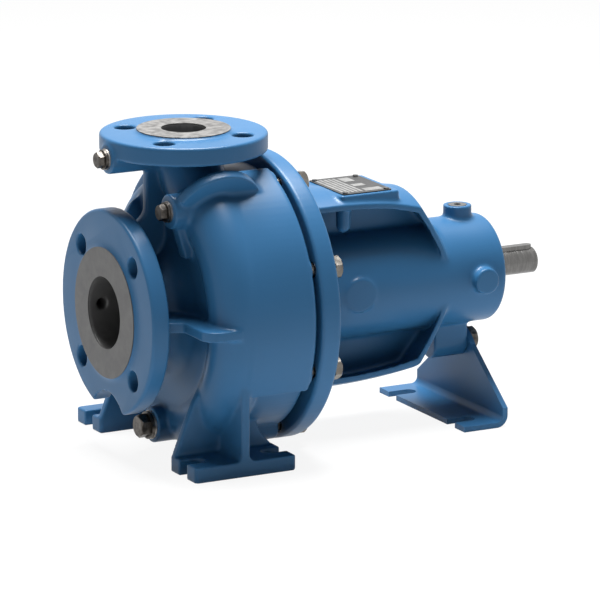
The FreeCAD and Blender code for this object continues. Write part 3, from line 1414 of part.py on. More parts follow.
def lantern_window():
    """Side opening that gives access to the shaft seal."""
    reach = ARM_RADIUS
    window = block(LANTERN_WINDOW_FRONT, LANTERN_WINDOW_BACK, -reach, reach,
                   SHAFT_HEIGHT - LANTERN_WINDOW_HALF_HEIGHT,
                   SHAFT_HEIGHT + LANTERN_WINDOW_HALF_HEIGHT)
    return rounded(window, LANTERN_WINDOW_CORNER,
                   lambda edge: abs(edge.tangentAt(0).y) > NEARLY_PARALLEL)


def name_plate_screw_places():
    places = []
    for x in (PLATE_FRONT + PLATE_SCREW_INSET, PLATE_BACK - PLATE_SCREW_INSET):
        for side in (-1, 1):
            places.append(Vector(x, side * (PLATE_HALF_WIDTH - PLATE_SCREW_INSET), PAD_TOP))
    return places


def bearing_bracket():
    """Bolting ring, lantern, arms and bearing housing in one casting."""
    body = [bracket_ring(), bracket_barrel(), name_plate_pad()]
    body += bracket_arms()
    body += arm_tabs()
    body += barrel_bosses()
    cast = body[0].multiFuse(body[1:])
    plate_bed = block(PAD_FRONT, PAD_BACK, -PAD_HALF_WIDTH, PAD_HALF_WIDTH,
                      PAD_TOP, PAD_TOP + ARM_PLATE)
    tools = [bracket_inside(), lantern_window(), plate_bed]
    tools += cover_bolt_holes(BRACKET_FRONT - TOOL_OVERRUN, BRACKET_BACK + TOOL_OVERRUN,
                              BOLT_HOLE_RADIUS)
    for place in name_plate_screw_places():
        tools.append(rod(place + UP, UP * -1, PLATE_SCREW_DEPTH + 2 * TOOL_OVERRUN,
                         PLATE_SCREW_RADIUS + FIT_GAP))
    filler_top = on_axis(TOP_BOSS_X, TOP_BOSS_REACH)
    tools.append(rod(filler_top + UP, UP * -1, FILLER_PLUG_DEPTH + TOOL_OVERRUN,
                     FILLER_PLUG_RADIUS + FIT_GAP))
    tools.append(rod(filler_top, UP * -1, TOP_BOSS_REACH - FILLER_PASSAGE_INNER,
                     FILLER_PASSAGE_RADIUS))
    tools.append(shaft_rod(SUPPORT_X - SUPPORT_BOLT_LENGTH, SUPPORT_X + TOOL_OVERRUN,
                           BOLT_RADIUS + FIT_GAP, 0, FOOT_LUG_BOLT_HEIGHT))
    for tool in tools:
        cast = cast.cut(tool)
    return cast.removeSplitter()


def socket_plug(face, out, radius, depth, flats, socket_depth):
    """Flush plug with a hexagon socket in its outer face."""
    plug = rod(face - out * depth, out, depth, radius)
    socket = hexagon_bar(face - out * socket_depth, out, socket_depth + TOOL_OVERRUN, flats)
    return plug.cut(socket)


def filler_plug():
    return socket_plug(on_axis(TOP_BOSS_X, TOP_BOSS_REACH), UP, FILLER_PLUG_RADIUS,
                       FILLER_PLUG_DEPTH, FILLER_SOCKET_FLATS, FILLER_SOCKET_DEPTH)


def suction_gauge_plug():
    face, out = suction_gauge_place()
    return socket_plug(face, out, GAUGE_THREAD_RADIUS, GAUGE_PLUG_DEPTH,
                       GAUGE_SOCKET_FLATS, GAUGE_SOCKET_DEPTH)


def name_plate():
    plate = block(PLATE_FRONT, PLATE_BACK, -PLATE_HALF_WIDTH, PLATE_HALF_WIDTH,
                  PAD_TOP, PAD_TOP + PLATE_THICKNESS)
    plate = rounded(plate, PLATE_CORNER, lambda edge: abs(edge.tangentAt(0).z) > NEARLY_PARALLEL)
    holes = []
    for place in name_plate_screw_places():
        holes.append(rod(place - UP, UP, PLATE_THICKNESS + 2 * TOOL_OVERRUN,
                         PLATE_SCREW_RADIUS + FIT_GAP))
    return without(plate, holes)


def name_plate_screws():
    screws = []
    for place in name_plate_screw_places():
        seat = place + UP * PLATE_THICKNESS
        shank = rod(place - UP * PLATE_SCREW_DEPTH, UP,
                    PLATE_SCREW_DEPTH + PLATE_THICKNESS, PLATE_SCREW_RADIUS)
        head = rod(seat, UP, PLATE_SCREW_HEAD_HEIGHT, PLATE_SCREW_HEAD_RADIUS)
        screws.append(joined([shank, head]))
    return Part.makeCompound(screws)


def hex_bolt(seat, out, grip):
    """Hexagon bolt whose head lies on the seat and whose shank points in."""
    head = chamfered_head(seat, out, BOLT_HEAD_HEIGHT, BOLT_HEAD_FLATS)
    shank = rod(seat - out * grip, out, grip, BOLT_RADIUS)
    return joined([head, shank])


def cover_bolts():
    seat = on_axis(BRACKET_BACK, COVER_BOLT_CIRCLE / 2)
    grip = BRACKET_RING_THICKNESS + BOLT_GRIP
    bolt = hex_bolt(seat, AXIS, grip)
    return Part.makeCompound(around_shaft(bolt, COVER_BOLTS, COVER_BOLT_FIRST))


def support_foot():
    """Bent sheet foot: a tapering upright and a base with two open slots."""
    back = SUPPORT_X + SUPPORT_SHEET
    sheet = SUPPORT_SHEET
    bend = SUPPORT_BEND_RADIUS
    outer = bend + sheet
    inner_chord = bend * (1 - CHORD)
    outer_chord = outer * (1 - CHORD)
    bent = slab(
        lambda x, z: Vector(x, 0, z),
        FAR * (2 * SUPPORT_HALF_WIDTH),
        (SUPPORT_FRONT, 0),
        (back - outer, 0),
        ((back - outer_chord, outer_chord), (back, outer)),
        (back, SUPPORT_TOP),
        (SUPPORT_X, SUPPORT_TOP),
        (SUPPORT_X, outer),
        ((SUPPORT_X - inner_chord, sheet + inner_chord), (SUPPORT_X - bend, sheet)),
        (SUPPORT_FRONT, sheet),
    )
    wide = SUPPORT_HALF_WIDTH
    corner_half, corner_height = SUPPORT_TOP_CORNER
    front_view = slab(
        lambda y, z: Vector((SUPPORT_FRONT + back) / 2, y, z),
        AXIS * (2 * SUPPORT_X),
        (-wide, 0),
        (wide, 0),
        (wide, SUPPORT_SHOULDER),
        (SUPPORT_NECK_HALF, SUPPORT_NECK_HEIGHT),
        ((corner_half, corner_height), (SUPPORT_TOP_HALF, SUPPORT_TOP)),
        (-SUPPORT_TOP_HALF, SUPPORT_TOP),
        ((-corner_half, corner_height), (-SUPPORT_NECK_HALF, SUPPORT_NECK_HEIGHT)),
        (-wide, SUPPORT_SHOULDER),
    )
    foot = bent.common(front_view)
    tools = [shaft_rod(SUPPORT_X - TOOL_OVERRUN, back + TOOL_OVERRUN, BOLT_HOLE_RADIUS,
                       0, FOOT_LUG_BOLT_HEIGHT)]
    for side in (-1, 1):
        centre = Vector(SUPPORT_BOLT_X, side * SUPPORT_SLOT_Y, -TOOL_OVERRUN)
        drill = rod(centre, UP, sheet + 2 * TOOL_OVERRUN, FOOT_SLOT_RADIUS)
        mouth = block(SUPPORT_FRONT - TOOL_OVERRUN, SUPPORT_BOLT_X,
                      centre.y - FOOT_SLOT_RADIUS, centre.y + FOOT_SLOT_RADIUS,
                      -TOOL_OVERRUN, sheet + TOOL_OVERRUN)
        tools.append(drill.fuse(mouth))
    for tool in tools:
        foot = foot.cut(tool)
    return foot


def support_foot_bolt():
    back = SUPPORT_X + SUPPORT_SHEET + WASHER_THICKNESS
    depth = SUPPORT_BOLT_LENGTH - SUPPORT_BOLT_TIP_ROOM
    grip = back - SUPPORT_X + depth
    return hex_bolt(Vector(back, 0, FOOT_LUG_BOLT_HEIGHT), AXIS, grip)


def support_foot_washer():
    front = SUPPORT_X + SUPPORT_SHEET
    back = front + WASHER_THICKNESS
    ring = shaft_rod(front, back, WASHER_RADIUS, 0, FOOT_LUG_BOLT_HEIGHT)
    return ring.cut(shaft_rod(front, back, BOLT_RADIUS + FIT_GAP, 0, FOOT_LUG_BOLT_HEIGHT))


def screw_plug(seat, out, thread, depth, collar, collar_height, flats, head_height):
    """Hexagon plug with a collar that presses a sealing ring on its seat."""
    start = seat + out * SEALING_RING_THICKNESS
    shank = rod(seat - out * depth, out, depth + SEALING_RING_THICKNESS, thread)
    rim = rod(start, out, collar_height, collar)
    head = chamfered_head(start + out * collar_height, out, head_height, flats)
    return joined([shank, rim, head])


def sealing_ring(seat, out, thread, collar):
    ring = rod(seat, out, SEALING_RING_THICKNESS, collar + SEALING_RING_RIM)
    return ring.cut(rod(seat, out, SEALING_RING_THICKNESS, thread + FIT_GAP))


def drain_plug():
    seat, out = drain_plug_places()[0]
    return screw_plug(seat, out, DRAIN_THREAD_RADIUS, DRAIN_PLUG_DEPTH,
                      DRAIN_COLLAR_RADIUS, DRAIN_COLLAR_HEIGHT, DRAIN_PLUG_FLATS,
                      DRAIN_HEAD_HEIGHT)


def drain_plug_ring():
    seat, out = drain_plug_places()[0]
    return sealing_ring(seat, out, DRAIN_THREAD_RADIUS, DRAIN_COLLAR_RADIUS)


def gauge_plugs():
    plugs = []
    for seat, out in gauge_plug_places():
        plugs.append(screw_plug(seat, out, GAUGE_THREAD_RADIUS, GAUGE_PLUG_DEPTH,
                                GAUGE_COLLAR_RADIUS, GAUGE_COLLAR_HEIGHT,
                                GAUGE_PLUG_FLATS, GAUGE_HEAD_HEIGHT))
    return Part.makeCompound(plugs)


def gauge_plug_rings():
    rings = []
    for seat, out in gauge_plug_places():
        rings.append(sealing_ring(seat, out, GAUGE_THREAD_RADIUS, GAUGE_COLLAR_RADIUS))
    return Part.makeCompound(rings)


def build():
    os.makedirs("parts", exist_ok=True)
    save("casing", casing())
    save("casing_cover", casing_cover())
    save("casing_gasket", casing_gasket())
    save("wear_ring", wear_ring())
    save("impeller", impeller())
    save("impeller_key", impeller_key())
    save("impeller_washer", impeller_washer())
    save("impeller_nut", impeller_nut())
    save("shaft", shaft())
    save("coupling_key", coupling_key())
    save("seal_seat", seal_seat())
    save("seal_face", seal_face())
    save("seal_collar", seal_collar())
    save("seal_spring", seal_spring())
    for side, x_start in (("pump_side", PUMP_BEARING_X), ("drive_side", DRIVE_BEARING_X)):
        save(side + "_bearing_outer_ring", bearing_outer_ring(x_start))
        save(side + "_bearing_inner_ring", bearing_inner_ring(x_start))
        save(side + "_bearing_balls", bearing_balls(x_start))
        save(side + "_bearing_cage", bearing_cage(x_start))
    save("housing_circlip", housing_circlip())
    save("shaft_circlip", shaft_circlip())
    save("pump_side_lip_seal", lip_seal(PUMP_SEAL_X, PUMP_SEAL_RADIUS))
    save("drive_side_lip_seal", lip_seal(DRIVE_SEAL_X, BEARING_RADIUS))
    save("deflector", deflector())
    save("bearing_bracket", bearing_bracket())
    save("filler_plug", filler_plug())
    save("name_plate", name_plate())
    save("name_plate_screws", name_plate_screws())
    save("cover_bolts", cover_bolts())
    save("support_foot", support_foot())
    save("support_foot_bolt", support_foot_bolt())
    save("support_foot_washer", support_foot_washer())
    save("drain_plug", drain_plug())
    save("drain_plug_ring", drain_plug_ring())
    save("gauge_plugs", gauge_plugs())
    save("gauge_plug_rings", gauge_plug_rings())
    save("suction_gauge_plug", suction_gauge_plug())


build()
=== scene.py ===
import json
import math

import bpy
import numpy as np
from mathutils import Matrix, Vector


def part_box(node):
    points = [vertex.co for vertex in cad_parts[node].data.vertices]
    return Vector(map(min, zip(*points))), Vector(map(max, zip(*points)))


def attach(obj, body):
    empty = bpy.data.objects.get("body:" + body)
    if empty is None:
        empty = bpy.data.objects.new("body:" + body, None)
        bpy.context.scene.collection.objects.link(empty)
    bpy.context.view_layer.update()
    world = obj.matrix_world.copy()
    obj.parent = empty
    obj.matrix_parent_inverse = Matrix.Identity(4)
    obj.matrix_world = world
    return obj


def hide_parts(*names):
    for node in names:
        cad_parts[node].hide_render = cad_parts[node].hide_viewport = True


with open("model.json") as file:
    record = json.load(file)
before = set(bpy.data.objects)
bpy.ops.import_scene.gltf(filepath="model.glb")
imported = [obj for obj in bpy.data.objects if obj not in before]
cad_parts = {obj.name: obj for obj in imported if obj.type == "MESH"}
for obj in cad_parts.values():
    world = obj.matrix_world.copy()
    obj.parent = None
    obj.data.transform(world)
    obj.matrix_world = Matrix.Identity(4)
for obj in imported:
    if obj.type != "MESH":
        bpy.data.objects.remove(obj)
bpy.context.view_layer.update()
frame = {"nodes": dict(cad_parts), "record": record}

bl_info = {
    "name": "Volute Pump Looks",
    "version": (1, 0, 0),
    "blender": (4, 5, 0),
    "location": "View3D > Sidebar > Pump",
    "description": "Finishes the surfaces of an end suction volute pump",
    "category": "Object",
}

NODE = frame["nodes"]

# Main axes and faces of the pump, in metres, taken from the frame
CASING_LOW, CASING_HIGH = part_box("casing")
BRACKET_LOW, BRACKET_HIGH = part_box("bearing_bracket")
PLATE_LOW, PLATE_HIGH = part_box("name_plate")
SHAFT_AXIS_HEIGHT = (BRACKET_LOW.z + BRACKET_HIGH.z) / 2
SUCTION_FACE_X = CASING_LOW.x
DISCHARGE_FACE_Z = CASING_HIGH.z

# Raised faces of the flanges with their bores, and how far the paint lies back from the
# bare metal of both faces
SUCTION_RAISED_RADIUS = 0.059
SUCTION_BORE_RADIUS = 0.0325
DISCHARGE_RAISED_RADIUS = 0.042
DISCHARGE_BORE_RADIUS = 0.020
FACE_CHAMFER = 0.0002
FACE_DEPTH = 0.0012
FACE_SIDES = 128
FACE_SETBACK = 0.0003

# Insides of casing and bracket that stay unpainted: reach of the bare metal from its axis
# and along it, each a little past the machined bore
SUCTION_BARE_RADIUS = 0.0333
SUCTION_BARE_END_X = -0.02
CHAMBER_BARE_RADIUS = 0.0998
CHAMBER_BARE_HALF_WIDTH = 0.0128
DISCHARGE_BARE_RADIUS = 0.0212
DISCHARGE_BARE_LOW_Z = 0.262
BEARING_BARE_RADIUS = 0.0372

# Gauge hole on the far side of the suction bore
GAUGE_HOLE_X = -0.0655
GAUGE_HOLE_BARE_RADIUS = 0.0058
GAUGE_HOLE_BARE_START_Y = 0.03
GAUGE_HOLE_BARE_END_Y = 0.098

MERGE_DISTANCE = 1e-5
INNER_CORNER_FILL = 0.55
OUTER_CORNER_WEAR = 0.06
SLIDE_SHARE = 0.5

# Finishes: how much finer the uneven gloss is than the patches of colour, the detail of
# gloss and grain, the deeper tone of the paint and its gloss
GLOSS_FINENESS = 2.3
GLOSS_DETAIL = 2.0
GRAIN_DETAIL = 4.0
PAINT_DEEPER_SHARE = 0.93
PAINT_SPECULAR = 0.18

# Print of the name plate: five bars side by side, then blocks given by their place along
# the plate, both ends across it and width
PRINT_HEIGHT = 0.0001
TEXT_BAR_COUNT = 5
TEXT_BAR_START = 0.0045
TEXT_BAR_STEP = 0.0043
TEXT_BAR_REACH = 0.028
TEXT_BAR_WIDTH = 0.0028
PLATE_BLOCKS = (
    (0.0310, 0.012, 0.027, 0.0110),
    (0.0310, -0.008, 0.001, 0.0120),
    (0.0350, -0.028, -0.018, 0.0180),
)

# Stage: places of the lamps, the point that they aim at, their diameters and the floor
LAMP_TARGET = (0.1, 0.0, 0.12)
TOP_LAMP_PLACE = (0.25, 0.35, 1.9)
TOP_LAMP_SIZE = 1.2
SIDE_LAMP_PLACE = (-1.7, -1.4, 0.9)
SIDE_LAMP_SIZE = 1.0
FLOOR_SIZE = 40.0
FLOOR_COLOUR = (0.86, 0.86, 0.86, 1)
FLOOR_ROUGHNESS = 0.9
FLOOR_SPECULAR = 0.1
FLOOR_GLOW_SHARE = 0.9
SENSOR_WIDTH = 36.0
VIEW_DEPTH = 100.0


def show_only(piece):
    """Makes one object the selected and active one."""
    bpy.ops.object.select_all(action="DESELECT")
    piece.select_set(True)
    bpy.context.view_layer.objects.active = piece


def apply_modifier(piece, kind, **settings):
    """Adds a modifier with its settings and applies it at once."""
    modifier = piece.modifiers.new(kind.title(), kind)
    for name, value in settings.items():
        setattr(modifier, name, value)
    show_only(piece)
    bpy.ops.object.modifier_apply(modifier=modifier.name)


def shade(piece, angle=35.0):
    """Shades a piece smooth, with sharp edges where faces meet at more than the angle."""
    show_only(piece)
    bpy.ops.object.shade_smooth_by_angle(angle=math.radians(angle))


def place(piece, base, direction):
    """Turns a piece modelled along Z to a direction and moves it to its base."""
    turn = Vector((0, 0, 1)).rotation_difference(Vector(direction))
    piece.matrix_world = Matrix.Translation(base) @ turn.to_matrix().to_4x4()
    show_only(piece)
    bpy.ops.object.transform_apply(location=True, rotation=True, scale=True)


def finish_piece(piece, body, slot, *materials):
    """Gives a new piece its materials and its body."""
    piece.data.materials.clear()
    for material in materials:
        piece.data.materials.append(material)
    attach(piece, body)


def turned_ring(name, profile, base, direction, sides):
    """Extrudes a circle from point to point of a closed profile of heights and radii."""
    bpy.ops.object.select_all(action="DESELECT")
    height, radius = profile[0]
    bpy.ops.mesh.primitive_circle_add(vertices=sides, radius=radius, location=(0, 0, height))
    piece = bpy.context.object
    piece.name = name
    bpy.ops.object.transform_apply(location=True, rotation=False, scale=False)
    bpy.ops.object.mode_set(mode="EDIT")
    bpy.ops.mesh.select_all(action="SELECT")
    for next_height, next_radius in profile[1:]:
        bpy.ops.mesh.extrude_edges_move()
        bpy.ops.transform.translate(value=(0, 0, next_height - height))
        share = next_radius / radius
        bpy.ops.transform.resize(value=(share, share, 1), center_override=(0, 0, next_height))
        height, radius = next_height, next_radius
    bpy.ops.mesh.select_all(action="SELECT")
    bpy.ops.mesh.remove_doubles(threshold=MERGE_DISTANCE)
    bpy.ops.mesh.normals_make_consistent(inside=False)
    bpy.ops.object.mode_set(mode="OBJECT")
    place(piece, base, direction)
    shade(piece)
    return piece


def new_tree(name):
    """An empty material with its output, shader and object coordinates."""
    material = bpy.data.materials.new(name)
    material.use_nodes = True
    tree = material.node_tree
    tree.nodes.clear()
    output = tree.nodes.new("ShaderNodeOutputMaterial")
    shader = tree.nodes.new("ShaderNodeBsdfPrincipled")
    tree.links.new(shader.outputs["BSDF"], output.inputs["Surface"])
    place_node = tree.nodes.new("ShaderNodeTexCoord")
    return material, tree, shader, place_node.outputs["Object"]


def noise(tree, place_socket, scale, detail=3.0, stretch=(1.0, 1.0, 1.0)):
    """A noise pattern whose scale counts features per metre."""
    mapping = tree.nodes.new("ShaderNodeMapping")
    mapping.inputs["Scale"].default_value = stretch
    tree.links.new(place_socket, mapping.inputs["Vector"])
    pattern = tree.nodes.new("ShaderNodeTexNoise")
    pattern.inputs["Scale"].default_value = scale
    pattern.inputs["Detail"].default_value = detail
    tree.links.new(mapping.outputs["Vector"], pattern.inputs["Vector"])
    return pattern.outputs["Fac"]


def spread(tree, socket, low, high, from_low=0.3, from_high=0.7):
    """Maps a pattern to a range of values."""
    mapped = tree.nodes.new("ShaderNodeMapRange")
    mapped.inputs["From Min"].default_value = from_low
    mapped.inputs["From Max"].default_value = from_high
    mapped.inputs["To Min"].default_value = low
    mapped.inputs["To Max"].default_value = high
    tree.links.new(socket, mapped.inputs["Value"])
    return mapped.outputs["Result"]


def two_tone(tree, socket, first, second, from_low=0.35, from_high=0.65):
    """Mixes two colours by a pattern."""
    ramp = tree.nodes.new("ShaderNodeValToRGB")
    ramp.color_ramp.elements[0].position = from_low
    ramp.color_ramp.elements[0].color = (*first, 1)
    ramp.color_ramp.elements[1].position = from_high
    ramp.color_ramp.elements[1].color = (*second, 1)
    tree.links.new(socket, ramp.inputs["Fac"])
    return ramp.outputs["Color"]


def relief(tree, shader, socket, strength, depth):
    """Raises a pattern out of the surface by a depth in metres."""
    bump = tree.nodes.new("ShaderNodeBump")
    bump.inputs["Strength"].default_value = strength
    bump.inputs["Distance"].default_value = depth
    tree.links.new(socket, bump.inputs["Height"])
    tree.links.new(bump.outputs["Normal"], shader.inputs["Normal"])


def surface(name, first, second, patch, rough, grain, metallic=0.0, stretch=(1.0, 1.0, 1.0)):
    """A finish with patches of two colours, uneven gloss and a fine grain.

    patch is (features per metre, detail), rough is (lowest, highest) and grain is
    (features per metre, strength, depth in metres).
    """
    material, tree, shader, where = new_tree(name)
    shader.inputs["Metallic"].default_value = metallic
    patches = noise(tree, where, patch[0], patch[1], stretch)
    tree.links.new(two_tone(tree, patches, first, second), shader.inputs["Base Color"])
    gloss = noise(tree, where, patch[0] * GLOSS_FINENESS, GLOSS_DETAIL, stretch)
    tree.links.new(spread(tree, gloss, *rough), shader.inputs["Roughness"])
    fine = noise(tree, where, grain[0], GRAIN_DETAIL, stretch)
    relief(tree, shader, fine, grain[1], grain[2])
    return material


def blue_paint(name):
    """Satin paint with slow unevenness of colour and gloss."""
    colour = tuple(bpy.context.scene.pump_looks.paint_colour)
    deeper = tuple(channel * PAINT_DEEPER_SHARE for channel in colour)
    material = surface(name, deeper, colour, patch=(9.0, 2.0), rough=(0.30, 0.38),
                       grain=(420.0, 0.10, 0.0004))
    shader = material.node_tree.nodes["Principled BSDF"]
    shader.inputs["Specular IOR Level"].default_value = PAINT_SPECULAR
    return material


def cast_paint():
    return blue_paint("Blue paint on castings")


def sheet_paint():
    return blue_paint("Blue paint on sheet")


def bare_iron():
    """Smoothly machined cast iron, as on the suction face."""
    return surface("Machined iron", (0.092, 0.092, 0.093), (0.108, 0.108, 0.107),
                   patch=(60.0, 4.0), rough=(0.44, 0.54), grain=(900.0, 0.15, 0.0003),
                   metallic=0.55)


def flange_face():
    """The same iron after some handling, with light and dark specks."""
    return surface("Worn flange face", (0.055, 0.053, 0.051), (0.150, 0.146, 0.141),
                   patch=(140.0, 9.0), rough=(0.40, 0.62), grain=(700.0, 0.2, 0.0003),
                   metallic=0.5)


def machined_steel():
    """Turned steel whose fine bands run round the shaft."""
    return surface("Turned steel", (0.135, 0.133, 0.130), (0.18, 0.177, 0.173),
                   patch=(90.0, 5.0), rough=(0.18, 0.28), grain=(1400.0, 0.12, 0.0002),
                   metallic=1.0, stretch=(6.0, 1.0, 1.0))


def bolt_steel():
    return surface("Dulled bolt steel", (0.14, 0.128, 0.114), (0.21, 0.195, 0.173),
                   patch=(140.0, 4.0), rough=(0.2, 0.32), grain=(900.0, 0.12, 0.0003),
                   metallic=1.0)


def dark_steel():
    return surface("Dark plug steel", (0.045, 0.041, 0.037), (0.13, 0.118, 0.106),
                   patch=(200.0, 6.0), rough=(0.30, 0.48), grain=(900.0, 0.15, 0.0003),
                   metallic=1.0)


def bearing_steel():
    return surface("Ground steel", (0.62, 0.62, 0.62), (0.7, 0.7, 0.7),
                   patch=(80.0, 2.0), rough=(0.12, 0.2), grain=(1500.0, 0.03, 0.0001),
                   metallic=1.0)


def cage_brass():
    return surface("Cage brass", (0.60, 0.42, 0.16), (0.70, 0.52, 0.22),
                   patch=(120.0, 3.0), rough=(0.28, 0.4), grain=(900.0, 0.1, 0.0002),
                   metallic=1.0)


def seal_ring():
    return surface("Seal ring", (0.03, 0.03, 0.032), (0.05, 0.05, 0.05),
                   patch=(150.0, 2.0), rough=(0.25, 0.35), grain=(900.0, 0.05, 0.0001))


def seal_rubber():
    return surface("Black rubber", (0.02, 0.02, 0.02), (0.032, 0.032, 0.032),
                   patch=(120.0, 3.0), rough=(0.5, 0.65), grain=(1200.0, 0.1, 0.0002))


def gasket_sheet():
    return surface("Gasket sheet", (0.22, 0.25, 0.22), (0.30, 0.33, 0.29),
                   patch=(200.0, 4.0), rough=(0.7, 0.85), grain=(1500.0, 0.2, 0.0002))


def sealing_copper():
    return surface("Sealing ring metal", (0.30, 0.29, 0.28), (0.50, 0.45, 0.40),
                   patch=(220.0, 4.0), rough=(0.3, 0.45), grain=(900.0, 0.1, 0.0002),
                   metallic=1.0)


def plate_metal():
    return surface("Dark plate", (0.010, 0.0105, 0.011), (0.017, 0.0175, 0.018),
                   patch=(90.0, 3.0), rough=(0.34, 0.46), grain=(1500.0, 0.05, 0.0001),
                   metallic=0.2)


def plate_print():
    return surface("Pale print", (0.13, 0.13, 0.128), (0.20, 0.20, 0.196),
                   patch=(160.0, 3.0), rough=(0.35, 0.5), grain=(1500.0, 0.05, 0.0001),
                   metallic=0.3)


# Finishes that the slots of the record name
SLOT_FINISHES = (
    cast_paint, sheet_paint, bare_iron, machined_steel, bolt_steel, dark_steel,
    bearing_steel, cage_brass, seal_ring, seal_rubber, gasket_sheet, sealing_copper,
    plate_metal,
)
MADE = {}


def finish(maker):
    """The material that a finish makes, made once and shared."""
    if maker not in MADE:
        MADE[maker] = maker()
    return MADE[maker]


def soften(piece, rounds):
    """Rounds the corners of a remeshed casting, inner ones far more than outer ones."""
    mesh = piece.data
    spot = np.empty(len(mesh.vertices) * 3)
    mesh.vertices.foreach_get("co", spot)
    spot = spot.reshape(-1, 3)
    pairs = np.empty(len(mesh.edges) * 2, int)
    mesh.edges.foreach_get("vertices", pairs)
    first, second = pairs.reshape(-1, 2).T
    count = len(spot)
    neighbours = np.bincount(first, minlength=count) + np.bincount(second, minlength=count)
    for _ in range(rounds):
        mean = np.empty_like(spot)
        for axis in range(3):
            total = np.bincount(first, spot[second, axis], count)
            total += np.bincount(second, spot[first, axis], count)
            mean[:, axis] = total / neighbours
        normal = np.empty(count * 3)
        mesh.vertices.foreach_get("normal", normal)
        normal = normal.reshape(-1, 3)
        step = mean - spot
        lift = (step * normal).sum(1)
        slide = step - normal * lift[:, None]
        share = np.where(lift > 0, INNER_CORNER_FILL, OUTER_CORNER_WEAR)
        spot += SLIDE_SHARE * slide + normal * (lift * share)[:, None]
        mesh.vertices.foreach_set("co", spot.ravel())
        mesh.update()


def cast_skin(node, name, looks):
    """A copy of a CAD casting with the soft corners that casting and paint give it."""
    piece = bpy.data.objects.new(name, NODE[node].data.copy())
    bpy.context.scene.collection.objects.link(piece)
    show_only(piece)
    bpy.ops.object.mode_set(mode="EDIT")
    bpy.ops.mesh.select_all(action="SELECT")
    bpy.ops.mesh.remove_doubles(threshold=MERGE_DISTANCE)
    bpy.ops.object.mode_set(mode="OBJECT")
    voxel = looks.casting_grain * 1.0
    apply_modifier(piece, "REMESH", mode="VOXEL", voxel_size=voxel, use_smooth_shade=True)
    soften(piece, looks.casting_rounds)
    triangles = 2 * len(piece.data.polygons)
    if triangles > looks.casting_triangles:
        apply_modifier(piece, "DECIMATE", ratio=looks.casting_triangles / triangles)
    show_only(piece)
    bpy.ops.object.shade_smooth()
    return piece


def face_centres(piece):
    """The middle of every face, one row each."""
    centres = np.empty(len(piece.data.polygons) * 3)
    piece.data.polygons.foreach_get("center", centres)
    return centres.reshape(-1, 3)


def paint_second(piece, chosen):
    """Gives the chosen faces the second material of a piece."""
    piece.data.polygons.foreach_set("material_index", chosen.astype(np.int32))
    piece.data.update()


class PumpLooks(bpy.types.PropertyGroup):
    """Colours and surface sizes of the pump."""

    paint_colour: bpy.props.FloatVectorProperty(
        name="Paint colour", description="Linear colour of the blue paint",
        subtype="COLOR", size=3, min=0.0, max=1.0, default=(0.0215, 0.095, 0.205))
    casting_grain: bpy.props.FloatProperty(
        name="Casting grain", description="Edge length of the mesh that skins a casting",
        subtype="DISTANCE", unit="LENGTH", default=0.0011)
    casting_rounds: bpy.props.IntProperty(
        name="Casting rounds", description="How often the corners of a casting are softened",
        default=24)
    casting_triangles: bpy.props.IntProperty(
        name="Casting triangles", description="Most triangles that a casting keeps",
        default=190000)


class PumpStage(bpy.types.PropertyGroup):
    """Camera and light of the picture."""

    lens: bpy.props.FloatProperty(
        name="Lens", description="Focal length on a sensor 36 mm wide, in millimetres",
        default=326.225)
    camera_place: bpy.props.FloatVectorProperty(
        name="Camera place", description="Where the camera stands", subtype="TRANSLATION",
        unit="LENGTH", size=3, default=(-2.126656, -4.209537, 1.301288))
    camera_turn: bpy.props.FloatVectorProperty(
        name="Camera turn", description="Turn of the camera about each axis",
        subtype="EULER", unit="ROTATION", size=3,
        default=(math.radians(76.1023), math.radians(-0.0815), math.radians(-28.0395)))
    sky_strength: bpy.props.FloatProperty(
        name="Sky strength", description="Light that comes evenly from all around",
        default=0.15)
    top_light: bpy.props.FloatProperty(
        name="Top light", description="Power of the wide lamp above", unit="POWER",
        default=124.0)
    side_light: bpy.props.FloatProperty(
        name="Side light", description="Power of the lamp at the near left", unit="POWER",
        default=0.8)


class PUMP_OT_casing(bpy.types.Operator):
    """Skins the volute casing in painted cast iron with bare bores"""

    bl_idname = "pump.casing"
    bl_label = "Volute casing"

    def execute(self, context):
        piece = cast_skin("casing", "painted_casing", context.scene.pump_looks)
        finish_piece(piece, "root", "cast_paint", finish(cast_paint), finish(bare_iron))
        self.set_back_faces(piece)
        paint_second(piece, self.bare_inside(piece))
        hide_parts("casing")
        return {"FINISHED"}

    def bare_inside(self, piece):
        """Chooses the faces of both bores, the impeller chamber and the gauge hole."""
        x, y, z = face_centres(piece).T
        height = z - SHAFT_AXIS_HEIGHT
        out_of_shaft = np.hypot(y, height)
        suction = (out_of_shaft < SUCTION_BARE_RADIUS) & (x < SUCTION_BARE_END_X)
        chamber = (out_of_shaft < CHAMBER_BARE_RADIUS) & (abs(x) < CHAMBER_BARE_HALF_WIDTH)
        discharge = (np.hypot(x, y) < DISCHARGE_BARE_RADIUS) & (z > DISCHARGE_BARE_LOW_Z)
        gauge_hole = np.hypot(x - GAUGE_HOLE_X, height) < GAUGE_HOLE_BARE_RADIUS
        gauge_hole &= (y > GAUGE_HOLE_BARE_START_Y) & (y < GAUGE_HOLE_BARE_END_Y)
        return suction | chamber | discharge | gauge_hole

    def set_back_faces(self, piece):
        """Keeps the painted skin behind the bare faces of the flanges."""
        spot = np.empty(len(piece.data.vertices) * 3)
        piece.data.vertices.foreach_get("co", spot)
        spot = spot.reshape(-1, 3)
        spot[:, 0] = np.maximum(spot[:, 0], SUCTION_FACE_X + FACE_SETBACK)
        spot[:, 2] = np.minimum(spot[:, 2], DISCHARGE_FACE_Z - FACE_SETBACK)
        piece.data.vertices.foreach_set("co", spot.ravel())
        piece.data.update()


